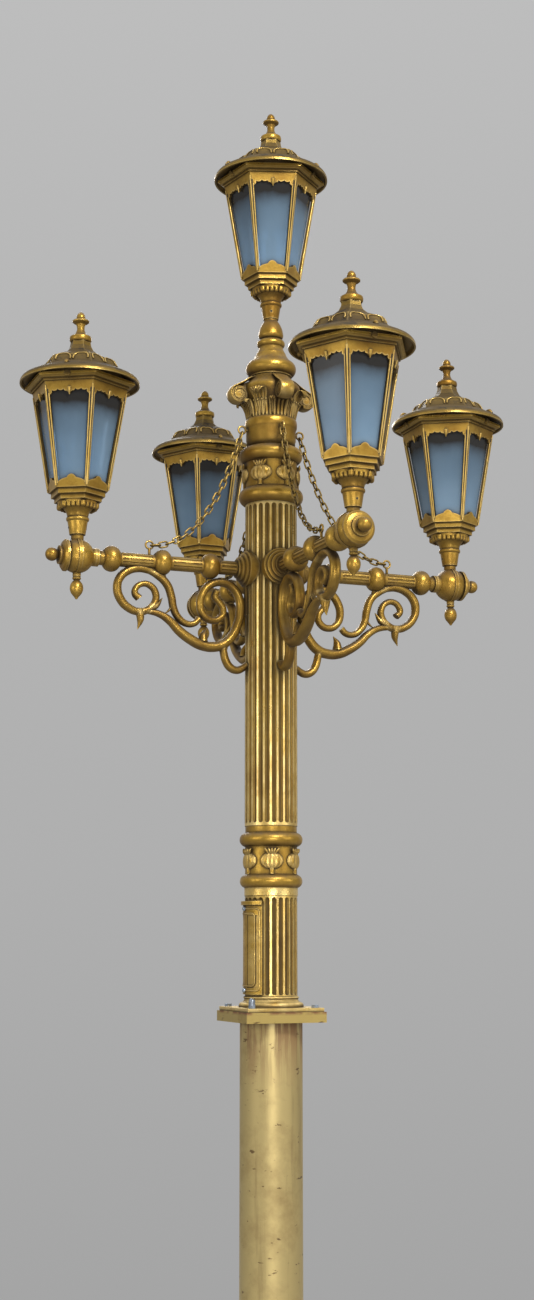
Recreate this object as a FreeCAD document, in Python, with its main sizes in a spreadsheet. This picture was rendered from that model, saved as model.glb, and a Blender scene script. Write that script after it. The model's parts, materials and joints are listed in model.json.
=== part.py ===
import FreeCAD, Part
import math
import os

import Sketcher

Vector = FreeCAD.Vector
Rotation = FreeCAD.Rotation
Placement = FreeCAD.Placement

doc = FreeCAD.newDocument("street_light")
sheet = doc.addObject("Spreadsheet::Sheet", "dims")
rows_used = [0]
nodes = []


def cell(alias, value):
    """Writes one named size, or a formula of others, to the sheet."""
    rows_used[0] += 1
    row = str(rows_used[0])
    sheet.set("A" + row, alias)
    sheet.set("B" + row, str(value))
    sheet.setAlias("B" + row, alias)


def size(alias):
    """Reads a named size as a plain number."""
    return float(sheet.get(alias))


SIZES = [
    # heights of the stacked pieces above the ground
    ("post_height", 1165.5),
    ("top_plate_thickness", 25),
    ("base_flange_thickness", 9.5),
    ("plate_top", "=post_height + top_plate_thickness + base_flange_thickness"),
    ("lower_collar_foot", 1487),
    ("shaft_foot", 1637),
    ("upper_collar_foot", 2447),
    ("capital_foot", 2595),
    ("spire_foot", 2783),
    ("spire_top", 2938),
    ("arm_height", 2278),
    # post
    ("foot_flange_side", 320),
    ("foot_flange_thickness", 16),
    ("foot_bolt_spacing", 240),
    ("foot_bolt_hole_radius", 10),
    ("cable_hole_radius", 45),
    ("post_radius", 76),
    ("post_wall", 4.5),
    ("top_plate_side", 205),
    ("base_flange_side", 196),
    ("base_bolt_spacing", 162),
    ("base_bolt_radius", 6),
    ("bolt_clearance", 0.4),
    ("cap_nut_radius", 8),
    ("cap_nut_height", 16),
    ("low_nut_radius", 9),
    ("low_nut_height", 7),
    # column
    ("column_radius", 64),
    ("column_bore", 50),
    ("shaft_radius", 65),
    ("flute_count", 24),
    ("flute_radius", 6.3),
    ("flute_axis_lift", 1.8),
    ("base_flute_foot", 1229),
    ("base_flute_head", 1463),
    ("shaft_flute_foot", 1643),
    ("shaft_flute_head", 2441),
    # hand hole and door
    ("hand_hole_foot", 1250),
    ("hand_hole_tall", 176),
    ("hand_hole_angle", 72),
    ("door_foot", 1231),
    ("door_tall", 214),
    ("door_angle", 100),
    ("door_clearance", 0.4),
    ("door_thickness", 4.5),
    ("door_panel_depth", 1.6),
    ("door_border", 9),
    ("door_hood_tall", 9),
    ("door_hood_reach", 5),
    ("door_screw_radius", 6),
    ("tray_width", 56),
    ("tray_tall", 190),
    ("tray_thickness", 3),
    ("tray_foot_depth", 24),
    ("terminal_width", 44),
    ("terminal_depth", 30),
    ("terminal_tall", 80),
    ("terminal_lift", 70),
    # arms
    ("arm_reach", 505),
    ("arm_end", 461),
    ("arm_bar_radius", 17.8),
    ("arm_bore", 8),
    ("saddle_clearance", 0.4),
    ("bead_radius", 32),
    ("bead_half_length", 21),
    ("first_bead", 163),
    ("second_bead", 289),
    ("third_bead", 419),
    ("arm_flute_count", 12),
    ("arm_flute_radius", 2.7),
    ("hub_radius", 42),
    ("hub_neck_radius", 22),
    ("hub_cap_seat", 26),
    ("hub_top_radius", 15.5),
    ("hub_top", 52),
    ("hub_foot_radius", 10),
    ("hub_foot", 50),
    # lantern heights above its socket
    ("cup_top", 105),
    ("frame_tall", 254),
    ("cornice_step", 7),
    ("frame_foot_corner", 74.7),
    ("frame_top_corner", 119.7),
    ("frame_wall", 6),
    ("lower_cornice_corner", 124),
    ("upper_cornice_corner", 129),
    ("seat_top", "=cup_top + frame_tall + 2 * cornice_step"),
    ("step_low_corner", 59.5),
    ("step_high_corner", 68),
    ("step_low_foot", 80),
    ("step_high_foot", 92),
    ("pane_clearance", 0.4),
    ("pane_thickness", 3),
    ("pane_foot", 3),
    ("pane_slant", 246),
    ("pane_foot_half", 29.5),
    ("pane_top_half", 50.5),
    ("holder_radius", 12.5),
    ("holder_tall", 62),
    ("thumb_shank_radius", 3.2),
    ("thumb_shank_length", 7),
    ("thumb_knob_radius", 7),
    ("thumb_knob_length", 7),
    ("top_lantern_turn", -108.5),
    # chains
    ("chain_wire", 4.5),
    ("link_length", 29.15),
    ("link_width", 17.6),
    ("link_pitch", 19.75),
    ("link_count", 21),
    ("chain_slack", 3.1),
    ("neck_eye_height", 2637),
    ("neck_eye_reach", 79),
    ("neck_eye_root", 63.6),
    ("arm_eye_reach", 322),
    ("arm_eye_lift", 42),
    ("eye_ring_radius", 9.5),
    ("eye_wire", 5),
    # bracket
    ("bracket_width", 28),
    ("bracket_rib_width", 20),
    ("bracket_rib_inset", 2.4),
]

# Turned pieces: name of the point, radius, height, and the radius of the arc that leads
# to it from the point before (plus bulges outwards, minus is hollow, nothing is straight).
TURNED = {
    "column_base": [
        ("flange_inside", 20, 0, 0),
        ("flange_edge", 79, 0, 0),
        ("flare_edge", 79, 3, 0),
        ("flare_mid", 72, 12, 9),
        ("flare_top", 65.5, 20, -9),
        ("ring_low", 67, 21.5, 0),
        ("ring_high", 67, 25, 2.2),
        ("shaft_low", 64, 26.5, 0),
        ("shaft_high", 64, 266, 0),
        ("band_low", 65.6, 267.5, 0),
        ("band_high", 65.6, 287, 0),
        ("bore_high", 50, 287, 0),
        ("bore_low", 50, 6, 0),
        ("throat", 20, 6, 0),
    ],
    "lower_collar": [
        ("bore_low", 50, 0, 0),
        ("torus_low", 66, 0, 0),
        ("torus_low_top", 66, 31, 16.5),
        ("frieze_low", 64, 32.5, 0),
        ("frieze_high", 64, 99, 0),
        ("torus_high", 66, 100.5, 0),
        ("torus_high_top", 66, 133, 17.2),
        ("band_low", 63.5, 134, 0),
        ("band_high", 63.5, 150, 0),
        ("bore_high", 50, 150, 0),
    ],
    "main_shaft": [
        ("bore_low", 50, 0, 0),
        ("skirt_low", 65, 0, 0),
        ("skirt_high", 65, 810, 0),
        ("bore_high", 50, 810, 0),
    ],
    "upper_collar": [
        ("bore_low", 50, 0, 0),
        ("torus_low", 66.5, 0, 0),
        ("torus_low_top", 66.5, 41, 21.5),
        ("frieze_low", 66, 42, 0),
        ("frieze_high", 66, 107, 0),
        ("torus_high", 66, 108, 0),
        ("torus_high_top", 66, 147, 20.6),
        ("cap_edge", 62, 148, 0),
        ("bore_high", 50, 148, 0),
    ],
    "capital": [
        ("bore_low", 30, 0, 0),
        ("step_low", 61.7, 0, 0),
        ("step_high", 61.7, 17, 0),
        ("neck_low", 63.2, 18.5, 0),
        ("neck_high", 63.2, 47, 0),
        ("ring_low", 63.2, 48, 0),
        ("ring_high", 63.2, 73, 14),
        ("bell_low", 60, 74, 0),
        ("bell_mid", 62, 105, -90),
        ("bell_high", 72, 140, -70),
        ("abacus_edge", 73, 160, 0),
        ("abacus_top", 50.7, 185, -60),
        ("crown", 50.7, 188, 0),
        ("bore_high", 30, 188, 0),
    ],
    "neck_spire": [
        ("bore_low", 8, 0, 0),
        ("foot", 53, 0, 0),
        ("ring_low", 53, 3, 0),
        ("ring_high", 54, 39, 20.5),
        ("bell_mid", 38, 62, -42),
        ("bell_top", 30.5, 79, -50),
        ("bead_low", 31, 80, 0),
        ("bead_high", 31, 98, 10.6),
        ("waist", 26, 101, 0),
        ("bulb", 31.9, 113, 14),
        ("bulb_top", 17.5, 150, 70),
        ("seat_edge", 17.5, 155, 0),
        ("bore_high", 8, 155, 0),
    ],
    "drop_finial": [
        ("seat_inside", 0, 50, 0),
        ("seat_edge", 9, 50, 0),
        ("ring_high", 9, 52, 0),
        ("ring_low", 9, 58, 3.6),
        ("neck", 7, 60, 0),
        ("belly", 16.4, 80, 24),
        ("waist", 8, 98, 26),
        ("tip_side", 2.5, 106, -30),
        ("tip", 0, 106.5, 0),
    ],
    "cup": [
        ("bore_low", 7, 0, 0),
        ("socket_low", 19.5, 0, 0),
        ("socket_high", 24.5, 32, 0),
        ("ring_low", 25, 33, 0),
        ("ring_high", 25, 44, 6.5),
        ("waist", 26, 47, 0),
        ("bowl_low", 33, 61, -24),
        ("bowl_high", 46, 71, -22),
        ("gallery", 48, 73, 0),
        ("gallery_top", 50, 81, 0),
        ("plate", 50, 90, 0),
        ("bore_high", 7, 90, 0),
    ],
    "roof_finial": [
        ("foot", 0, 486, 0),
        ("flange_low", 26, 486, 0),
        ("flange_high", 26, 495, 5.2),
        ("flare", 15, 500, -12),
        ("waist", 9.7, 515, -22),
        ("collar_low", 13, 526, -20),
        ("collar_high", 20, 536, -14),
        ("collar_edge", 20, 544, 4.6),
        ("collar_top", 12, 546, 0),
        ("acorn_low", 11, 548, 0),
        ("acorn_high", 4, 560, 13),
        ("tip_edge", 1, 563, 0),
        ("tip", 0, 563, 0),
    ],
    "roof_brim": [
        ("seat_inside", 96, 373, 0),
        ("seat_outside", 105, 373, 0),
        ("underside_inner", 108, 391, 0),
        ("underside_outer", 138, 383, 60),
        ("lip_inside", 142.5, 375, -14),
        ("lip_outside", 147, 375, 0),
        ("brim_edge", 147, 380, 0),
        ("brim_shoulder", 134, 392, 17),
        ("brim_mid", 114, 403, -60),
        ("tier_foot", 101, 408, -26),
        ("tier_inside", 96, 408, 0),
    ],
    "lamp": [
        ("foot", 0, 167, 0),
        ("skirt_low", 8, 167, 0),
        ("skirt_high", 8, 266, 0),
        ("dome", 1.5, 273.5, 8.2),
        ("dome_top", 0, 273.5, 0),
    ],
}

for alias, value in SIZES:
    cell(alias, value)
for piece in TURNED:
    for point, radius, height, arc in TURNED[piece]:
        cell(piece + "_" + point + "_radius", radius)
        cell(piece + "_" + point + "_height", height)
        if arc:
            cell(piece + "_" + point + "_arc", abs(arc))
cell("base_local_flute_foot", "=base_flute_foot - plate_top")
cell("base_local_flute_head", "=base_flute_head - plate_top")
cell("shaft_local_flute_foot", "=shaft_flute_foot - shaft_foot")
cell("shaft_local_flute_head", "=shaft_flute_head - shaft_foot")
ARM_STEPS = [
    ("root", 46, 40),
    ("rosette_edge", 46, 71),
    ("rosette_step", 40, 72.5),
    ("second_edge", 40, 78),
    ("third_step", 32, 80),
    ("third_edge", 32, 86),
    ("fourth_step", 24, 88),
    ("fourth_edge", 24, 94),
]
for name, radius, along in ARM_STEPS:
    cell("arm_" + name + "_radius", radius)
    cell("arm_" + name + "_along", along)
for bead in ("first", "second", "third"):
    cell(bead + "_bead_start", "=%s_bead - bead_half_length" % bead)
    cell(bead + "_bead_stop", "=%s_bead + bead_half_length" % bead)
cell("bead_rise", "=bead_radius - arm_bar_radius")
cell("bead_half_arc", "=(bead_half_length ^ 2 + bead_rise ^ 2) / (2 * bead_rise)")
cell("arm_collar_start", 453)
cell("arm_collar_radius", 22)
cell("arm_flute_lift", 0.6)
FLUTE_SPANS = [(98, 138), (189, 264), (316, 394)]
for number, (start, stop) in enumerate(FLUTE_SPANS):
    cell("arm_flute_start_%s" % "abc"[number], start)
    cell("arm_flute_stop_%s" % "abc"[number], stop)
CAP_STEPS = [
    ("rim_start", 39, 26),
    ("rim_stop", 39, 32),
    ("dish", 33, 37),
    ("step_start", 23, 40),
    ("step_stop", 23, 46),
    ("stem_start", 8, 48),
]
for name, radius, along in CAP_STEPS:
    cell("cap_" + name + "_radius", radius)
    cell("cap_" + name + "_along", along)
cell("cap_axis", 0)
cell("knob_start", 46)
cell("knob_stop", 78)
cell("knob_arc", 16.4)
cell("cup_step_gap", "=step_high_foot - step_low_foot")
cell("frame_foot_inner", "=frame_foot_corner - frame_wall / cos(30)")
cell("frame_top_inner", "=frame_top_corner - frame_wall / cos(30)")
cell("frame_foot_apothem", "=frame_foot_corner * cos(30)")
cell("frame_lean", "=atan((frame_top_corner - frame_foot_corner) * cos(30) / frame_tall)")
cell("frame_top_open", "=frame_top_inner")
WINDOW = [
    # across, up the slope, arc that leads here
    ("foot_corner", 33, 14, 0),
    ("side_corner", 49, 222, 0),
    ("shoulder", 44, 234, -9),
    ("scallop_one", 29, 236, -9.5),
    ("scallop_two", 14, 236, -9.5),
    ("pendant_side", 7, 231, -5),
    ("pendant", 0, 224, 0),
]
for name, across, up, arc in WINDOW:
    cell("window_" + name + "_across", across)
    cell("window_" + name + "_mirror", "=-window_%s_across" % name)
    cell("window_" + name + "_up", up)
    if arc:
        cell("window_" + name + "_arc", abs(arc))
for name, across, up in (("crest_edge", 24, 19), ("crest_step", 11, 23), ("crest_top", 0, 31)):
    cell("window_" + name + "_across", across)
    cell("window_" + name + "_mirror", "=-window_%s_across" % name)
    cell("window_" + name + "_up", up)
cell("crest_arc", 14)
for name in ("pane_foot_half", "pane_top_half"):
    cell(name + "_mirror", "=-" + name)
cell("pane_top", "=pane_foot + pane_slant")
ROOF_TIERS = [
    ("tier_foot", 107, 404),
    ("tier_waist", 97, 416),
    ("tier_neck", 91, 426),
    ("tier_top", 87, 434),
]
ROOF_CONE = [
    ("cone_foot", 81, 434),
    ("cone_low", 66, 443),
    ("cone_mid", 45, 452),
    ("cone_high", 33, 462),
    ("cone_neck", 27, 474),
    ("cone_top", 25, 486),
]
for name, corner, height in ROOF_TIERS + ROOF_CONE:
    cell("roof_" + name + "_corner", corner)
    cell("roof_" + name + "_height", height)
ROOF_HOLLOW = [("low", 96, 373), ("mid", 88, 404), ("high", 66, 429), ("tip", 20, 442)]
for name, radius, height in ROOF_HOLLOW:
    cell("hollow_" + name + "_radius", radius)
    cell("hollow_" + name + "_height", height)
cell("hollow_axis", 0)
cell("thumb_seat", "=upper_cornice_corner * cos(30)")
cell("thumb_height", "=seat_top - cornice_step / 2")
doc.recompute()


def plane_of(body, role):
    """Finds one of the three origin planes of a body."""
    for feature in body.Origin.OriginFeatures:
        if feature.Role == role:
            return feature
    return None


def axis_of(body, role):
    """Finds one of the three origin axes of a body."""
    return (plane_of(body, role), [""])


def new_body(label):
    """Starts an empty body."""
    body = doc.addObject("PartDesign::Body", label)
    body.Label = label
    return body


def new_sketch(body, role):
    """Starts a sketch on an origin plane of the body."""
    sketch = body.newObject("Sketcher::SketchObject", body.Name + "_sketch")
    sketch.AttachmentSupport = [(plane_of(body, role), "")]
    sketch.MapMode = "FlatFace"
    return sketch


def pin(sketch, geometry, end, along, across):
    """Ties one end of a sketch line to two named sizes."""
    for kind, alias, axis in (("DistanceX", along, -2), ("DistanceY", across, -1)):
        value = size(alias)
        if abs(value) < 1e-9:
            sketch.addConstraint(Sketcher.Constraint("PointOnObject", geometry, end, axis))
        else:
            index = sketch.addConstraint(
                Sketcher.Constraint(kind, -1, 1, geometry, end, value)
            )
            sketch.setExpression("Constraints[%d]" % index, "dims." + alias)


def arc_middle(start, end, radius):
    """Middle of the short arc between two points: plus bulges to the right of travel."""
    chord = end.sub(start)
    half = chord.Length / 2
    rise = abs(radius) - math.sqrt(max(radius * radius - half * half, 0))
    side = Vector(chord.y, -chord.x, 0)
    side.normalize()
    if radius < 0:
        rise = -rise
    return start.add(end).multiply(0.5).add(side.multiply(rise))


def outline(sketch, points):
    """Draws a closed outline through points of named sizes: along, across, arc alias, arc sign."""
    spots = [Vector(size(p[0]), size(p[1]), 0) for p in points]
    ends = []
    for index in range(len(points)):
        start = spots[index - 1]
        end = spots[index]
        arc = points[index][2]
        if arc is None:
            number = sketch.addGeometry(Part.LineSegment(start, end), False)
            ends.append((number, 1, 2))
            continue
        middle = arc_middle(start, end, size(arc) * points[index][3])
        if points[index][3] > 0:
            number = sketch.addGeometry(Part.Arc(start, middle, end), False)
            ends.append((number, 1, 2))
        else:
            number = sketch.addGeometry(Part.Arc(end, middle, start), False)
            ends.append((number, 2, 1))
    for index in range(len(points)):
        number, first, last = ends[index]
        following = ends[(index + 1) % len(points)]
        sketch.addConstraint(
            Sketcher.Constraint("Coincident", number, last, following[0], following[1])
        )
    for index in range(len(points)):
        number, first, last = ends[index]
        pin(sketch, number, last, points[index][0], points[index][1])
    for index in range(len(points)):
        arc = points[index][2]
        if arc is not None:
            place = sketch.addConstraint(
                Sketcher.Constraint("Radius", ends[index][0], size(arc))
            )
            sketch.setExpression("Constraints[%d]" % place, "dims." + arc)


def turned_points(piece):
    """The outline of a turned piece as aliases."""
    points = []
    for point, radius, height, arc in TURNED[piece]:
        stem = piece + "_" + point
        points.append(
            (
                stem + "_radius",
                stem + "_height",
                stem + "_arc" if arc else None,
                1 if arc > 0 else -1,
            )
        )
    return points


def turn(body, piece):
    """Adds a revolved profile about the upright axis to a body."""
    sketch = new_sketch(body, "XZ_Plane")
    outline(sketch, turned_points(piece))
    feature = body.newObject("PartDesign::Revolution", body.Name + "_turned")
    feature.Profile = sketch
    feature.ReferenceAxis = (sketch, ["V_Axis"])
    feature.Angle = 360
    sketch.Visibility = False
    body.Tip = feature
    return feature


def turned_body(label, piece):
    """A body that is one turned piece."""
    body = new_body(label)
    turn(body, piece)
    return body


def flute(body, radius_alias, lift_alias, foot_alias, head_alias, cutter_alias, count_alias, role):
    """Cuts round-ended channels, evenly spaced about the axis of the body."""
    upright = role == "Z_Axis"
    sketch = new_sketch(body, "XZ_Plane" if upright else "XY_Plane")
    radius = size(cutter_alias)
    away = size(radius_alias) + size(lift_alias)
    low = size(foot_alias) + radius
    high = size(head_alias) - radius
    quarter = radius * math.sqrt(0.5)

    def spot(side, along):
        return Vector(away + side, along, 0) if upright else Vector(along, away + side, 0)

    def quarter_arc(start, middle, end):
        turn_way = (middle.x - start.x) * (end.y - middle.y) - (middle.y - start.y) * (end.x - middle.x)
        if turn_way > 0:
            return sketch.addGeometry(Part.Arc(start, middle, end), False), 1, 2
        return sketch.addGeometry(Part.Arc(end, middle, start), False), 2, 1

    inner = sketch.addGeometry(Part.LineSegment(spot(-radius, low), spot(-radius, high)), False)
    spine = sketch.addGeometry(
        Part.LineSegment(spot(0, low - radius), spot(0, high + radius)), False
    )
    head, head_start, head_end = quarter_arc(
        spot(-radius, high), spot(-quarter, high + quarter), spot(0, high + radius)
    )
    foot, foot_start, foot_end = quarter_arc(
        spot(-radius, low), spot(-quarter, low - quarter), spot(0, low - radius)
    )
    joins = (
        (inner, 2, head, head_start),
        (inner, 1, foot, foot_start),
        (spine, 2, head, head_end),
        (spine, 1, foot, foot_end),
    )
    for line, end, arc, arc_end in joins:
        sketch.addConstraint(Sketcher.Constraint("Coincident", line, end, arc, arc_end))
    across = "DistanceX" if upright else "DistanceY"
    along = "DistanceY" if upright else "DistanceX"
    side = "dims.%s + dims.%s" % (radius_alias, lift_alias)
    cutter = "dims." + cutter_alias
    formulas = (
        (across, spine, 1, side, away),
        (across, spine, 2, side, away),
        (along, spine, 1, "dims." + foot_alias, low - radius),
        (along, spine, 2, "dims." + head_alias, high + radius),
        (across, inner, 1, side + " - " + cutter, away - radius),
        (across, inner, 2, side + " - " + cutter, away - radius),
        (along, inner, 1, "dims.%s + %s" % (foot_alias, cutter), low),
        (along, inner, 2, "dims.%s - %s" % (head_alias, cutter), high),
    )
    for kind, number, end, formula, value in formulas:
        index = sketch.addConstraint(Sketcher.Constraint(kind, -1, 1, number, end, value))
        sketch.setExpression("Constraints[%d]" % index, formula)
    for arc in (head, foot):
        index = sketch.addConstraint(Sketcher.Constraint("Radius", arc, radius))
        sketch.setExpression("Constraints[%d]" % index, cutter)
    axis = sketch.addGeometry(Part.LineSegment(spot(0, low), spot(0, high)), True)
    sketch.addConstraint(Sketcher.Constraint("Coincident", axis, 1, spine, 1))
    sketch.addConstraint(Sketcher.Constraint("Coincident", axis, 2, spine, 2))
    groove = body.newObject("PartDesign::Groove", body.Name + "_flute")
    groove.Profile = sketch
    groove.ReferenceAxis = (sketch, ["Axis0"])
    groove.Angle = 360
    doc.recompute()
    pattern = body.newObject("PartDesign::PolarPattern", body.Name + "_flutes")
    pattern.Originals = [groove]
    pattern.Axis = axis_of(body, role)
    pattern.Angle = 360
    pattern.setExpression("Occurrences", "dims." + count_alias)
    body.Tip = pattern
    sketch.Visibility = False
    return pattern


def lifted(feature, formula):
    """Ties the height of a piece to the sheet."""
    feature.setExpression("Placement.Base.z", formula)


def emit(label, feature):
    """Names a finished piece for its file."""
    feature.Label = label
    nodes.append((label, feature))
    return feature


def copy_of(label, masters, spot, angle):
    """Places a copy of finished master pieces, turned about the upright axis."""
    twin = doc.addObject("Part::Compound", label)
    twin.Links = masters
    twin.Placement = Placement(spot, Rotation(Vector(0, 0, 1), angle))
    return twin


def box(label, sides, spot):
    """A box with its middle at a spot of its foot: sides and spot are expressions."""
    piece = doc.addObject("Part::Box", label)
    for name, formula in zip(("Length", "Width", "Height"), sides):
        piece.setExpression(name, formula)
    piece.setExpression("Placement.Base.x", "%s - (%s) / 2" % (spot[0], sides[0]))
    piece.setExpression("Placement.Base.y", "%s - (%s) / 2" % (spot[1], sides[1]))
    piece.setExpression("Placement.Base.z", spot[2])
    return piece


def rod(label, radius, tall, spot):
    """An upright cylinder from expressions."""
    piece = doc.addObject("Part::Cylinder", label)
    piece.setExpression("Radius", radius)
    piece.setExpression("Height", tall)
    for name, formula in zip("xyz", spot):
        piece.setExpression("Placement.Base." + name, formula)
    return piece


def cut(label, base, tools):
    """Base less each tool in turn."""
    for tool in tools:
        less = doc.addObject("Part::Cut", label)
        less.Base = base
        less.Tool = tool
        base = less
    return base


def fuse(label, shapes):
    """One piece out of several."""
    joined = doc.addObject("Part::MultiFuse", label)
    joined.Shapes = shapes
    joined.Refine = True
    return joined


def corners(spacing):
    """Four corner spots as pairs of expressions."""
    return [
        ("%sdims.%s / 2" % (a, spacing), "%sdims.%s / 2" % (b, spacing))
        for a in ("-", "")
        for b in ("-", "")
    ]


# Post: foot flange, pipe and thick top plate, welded end to end.
foot = box(
    "foot_plate",
    ("dims.foot_flange_side", "dims.foot_flange_side", "dims.foot_flange_thickness"),
    ("0", "0", "0"),
)
foot_tools = [
    rod("foot_way", "dims.cable_hole_radius", "dims.foot_flange_thickness + 2", ("0", "0", "-1"))
]
for x, y in corners("foot_bolt_spacing"):
    foot_tools.append(
        rod("foot_hole", "dims.foot_bolt_hole_radius", "dims.foot_flange_thickness + 2", (x, y, "-1"))
    )
emit("foot_flange", cut("foot_flange", foot, foot_tools))
pipe = rod(
    "post_pipe",
    "dims.post_radius",
    "dims.post_height - dims.foot_flange_thickness",
    ("0", "0", "dims.foot_flange_thickness"),
)
pipe_bore = rod(
    "pipe_bore",
    "dims.post_radius - dims.post_wall",
    "dims.post_height - dims.foot_flange_thickness + 2",
    ("0", "0", "dims.foot_flange_thickness - 1"),
)
emit("lower_post", cut("lower_post", pipe, [pipe_bore]))
plate = box(
    "plate_blank",
    ("dims.top_plate_side", "dims.top_plate_side", "dims.top_plate_thickness"),
    ("0", "0", "dims.post_height"),
)
plate_tools = [
    rod(
        "plate_way",
        "dims.cable_hole_radius",
        "dims.top_plate_thickness + 2",
        ("0", "0", "dims.post_height - 1"),
    )
]
for x, y in corners("base_bolt_spacing"):
    plate_tools.append(
        rod(
            "plate_hole",
            "dims.base_bolt_radius + dims.bolt_clearance",
            "dims.top_plate_thickness + 2",
            (x, y, "dims.post_height - 1"),
        )
    )
emit("top_plate", cut("top_plate", plate, plate_tools))

# Column base: turned casting with flutes on its own square flange.
base_turned = new_body("base_casting")
turn(base_turned, "column_base")
flute(
    base_turned,
    "column_radius",
    "flute_axis_lift",
    "base_local_flute_foot",
    "base_local_flute_head",
    "flute_radius",
    "flute_count",
    "Z_Axis",
)
lifted(base_turned, "dims.plate_top")
base_plate = box(
    "base_flange",
    ("dims.base_flange_side", "dims.base_flange_side", "dims.base_flange_thickness"),
    ("0", "0", "dims.plate_top - dims.base_flange_thickness"),
)
base_tools = [
    rod(
        "base_cable_way",
        "dims.column_base_throat_radius",
        "dims.base_flange_thickness + 2",
        ("0", "0", "dims.plate_top - dims.base_flange_thickness - 1"),
    )
]
for x, y in corners("base_bolt_spacing"):
    base_tools.append(
        rod(
            "flange_hole",
            "dims.base_bolt_radius + dims.bolt_clearance",
            "dims.base_flange_thickness + 2",
            (x, y, "dims.plate_top - dims.base_flange_thickness - 1"),
        )
    )
hand_hole = doc.addObject("Part::Cylinder", "hand_hole")
hand_hole.Radius = 90
hand_hole.setExpression("Height", "dims.hand_hole_tall")
hand_hole.setExpression("Angle", "dims.hand_hole_angle")
hand_hole.Placement = Placement(
    Vector(0, 0, 0), Rotation(Vector(0, 0, 1), 180 - size("hand_hole_angle") / 2)
)
hand_hole.setExpression("Placement.Base.z", "dims.hand_hole_foot")
base_tools.append(hand_hole)
emit("column_base", cut("column_base", fuse("base_joined", [base_turned, base_plate]), base_tools))

# Studs up through both plates: a domed cap nut at the near left corner, low nuts elsewhere.
bolt_parts = []
for number, (x, y) in enumerate(corners("base_bolt_spacing")):
    shank = rod(
        "bolt_shank",
        "dims.base_bolt_radius",
        "dims.top_plate_thickness + dims.base_flange_thickness + 2",
        (x, y, "dims.post_height"),
    )
    nut = doc.addObject("Part::Prism", "bolt_nut")
    nut.Polygon = 6
    nut.setExpression("Circumradius", "dims.low_nut_radius")
    nut.setExpression("Height", "dims.low_nut_height")
    nut.setExpression("Placement.Base.x", x)
    nut.setExpression("Placement.Base.y", y)
    nut.setExpression("Placement.Base.z", "dims.plate_top")
    pieces = [shank, nut]
    if number == 0:
        pieces.append(rod("cap_wall", "dims.cap_nut_radius", "dims.cap_nut_height", (x, y, "dims.plate_top")))
        dome = doc.addObject("Part::Sphere", "cap_dome")
        dome.setExpression("Radius", "dims.cap_nut_radius")
        dome.setExpression("Placement.Base.x", x)
        dome.setExpression("Placement.Base.y", y)
        dome.setExpression("Placement.Base.z", "dims.plate_top + dims.cap_nut_height")
        pieces.append(dome)
    bolt_parts.append(fuse("base_bolt", pieces))
group = doc.addObject("Part::Compound", "base_bolts")
group.Links = bolt_parts
emit("base_bolts", group)


def sector(label, radius, foot_at, tall, angle):
    """An upright sector of a cylinder about the door side."""
    piece = doc.addObject("Part::Cylinder", label)
    piece.setExpression("Radius", radius)
    piece.setExpression("Height", tall)
    piece.setExpression("Angle", angle)
    piece.Placement = Placement(Vector(0, 0, 0), Rotation(Vector(0, 0, 1), 90))
    piece.setExpression("Placement.Rotation.Angle", "180 - (%s) / 2" % angle)
    piece.setExpression("Placement.Base.z", foot_at)
    return piece


# Access door: curved plate with a hood, two sunk panels and a raised border.
door_face = "dims.column_radius + dims.door_clearance + dims.door_thickness"
door_plate = sector("door_plate", door_face, "dims.door_foot", "dims.door_tall", "dims.door_angle")
door_hood = sector(
    "door_hood",
    door_face + " + dims.door_hood_reach",
    "dims.door_foot + dims.door_tall",
    "dims.door_hood_tall",
    "dims.door_angle",
)
door_solid = fuse("door_solid", [door_plate, door_hood])
door_inside = rod(
    "door_inside",
    "dims.column_radius + dims.door_clearance",
    "dims.door_tall + dims.door_hood_tall + 2",
    ("0", "0", "dims.door_foot - 1"),
)
door_panels = []
for sign in (-1, 1):
    panel = sector(
        "door_panel",
        door_face + " + 1",
        "dims.door_foot + dims.door_border + 6",
        "dims.door_tall - 2 * dims.door_border - 22",
        "dims.door_angle * 0.30",
    )
    panel.setExpression("Placement.Rotation.Angle", "180 - dims.door_angle * 0.15 + %d * dims.door_angle * 0.25" % sign)
    core = rod(
        "panel_floor",
        door_face + " - dims.door_panel_depth",
        "dims.door_tall",
        ("0", "0", "dims.door_foot"),
    )
    door_panels.append(cut("door_panel_cut", panel, [core]))
emit("access_door", cut("access_door", door_solid, [door_inside] + door_panels))

screw_parts = []
for spot in ("dims.door_foot + 9", "dims.door_foot + dims.door_tall - 9"):
    screw = doc.addObject("Part::Sphere", "door_screw")
    screw.setExpression("Radius", "dims.door_screw_radius")
    screw.setExpression("Placement.Base.x", "-(%s) - 0.3" % door_face)
    screw.setExpression("Placement.Base.z", spot)
    keep = box("screw_keep", ("20", "20", "20"), ("-(%s) - 0.3 - 10" % door_face, "0", spot + " - 10"))
    half = doc.addObject("Part::Common", "door_screw_head")
    half.Base = screw
    half.Tool = keep
    screw_parts.append(half)
group = doc.addObject("Part::Compound", "door_screws")
group.Links = screw_parts
emit("door_screws", group)

# Terminals on a small tray that stands on the base flange.
tray = box(
    "tray_back",
    ("dims.tray_thickness", "dims.tray_width", "dims.tray_tall"),
    ("30", "0", "dims.plate_top + dims.column_base_throat_height"),
)
tray_foot = box(
    "tray_foot",
    ("dims.tray_foot_depth", "dims.tray_width * 0.6", "dims.tray_thickness"),
    ("30 + dims.tray_thickness / 2 - dims.tray_foot_depth / 2", "0", "dims.plate_top + dims.column_base_throat_height"),
)
block = box(
    "terminal_body",
    ("dims.terminal_depth", "dims.terminal_width", "dims.terminal_tall"),
    (
        "30 - dims.tray_thickness / 2 - dims.terminal_depth / 2",
        "0",
        "dims.plate_top + dims.terminal_lift",
    ),
)
emit("terminal_block", fuse("terminal_block", [tray, tray_foot, block]))


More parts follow.
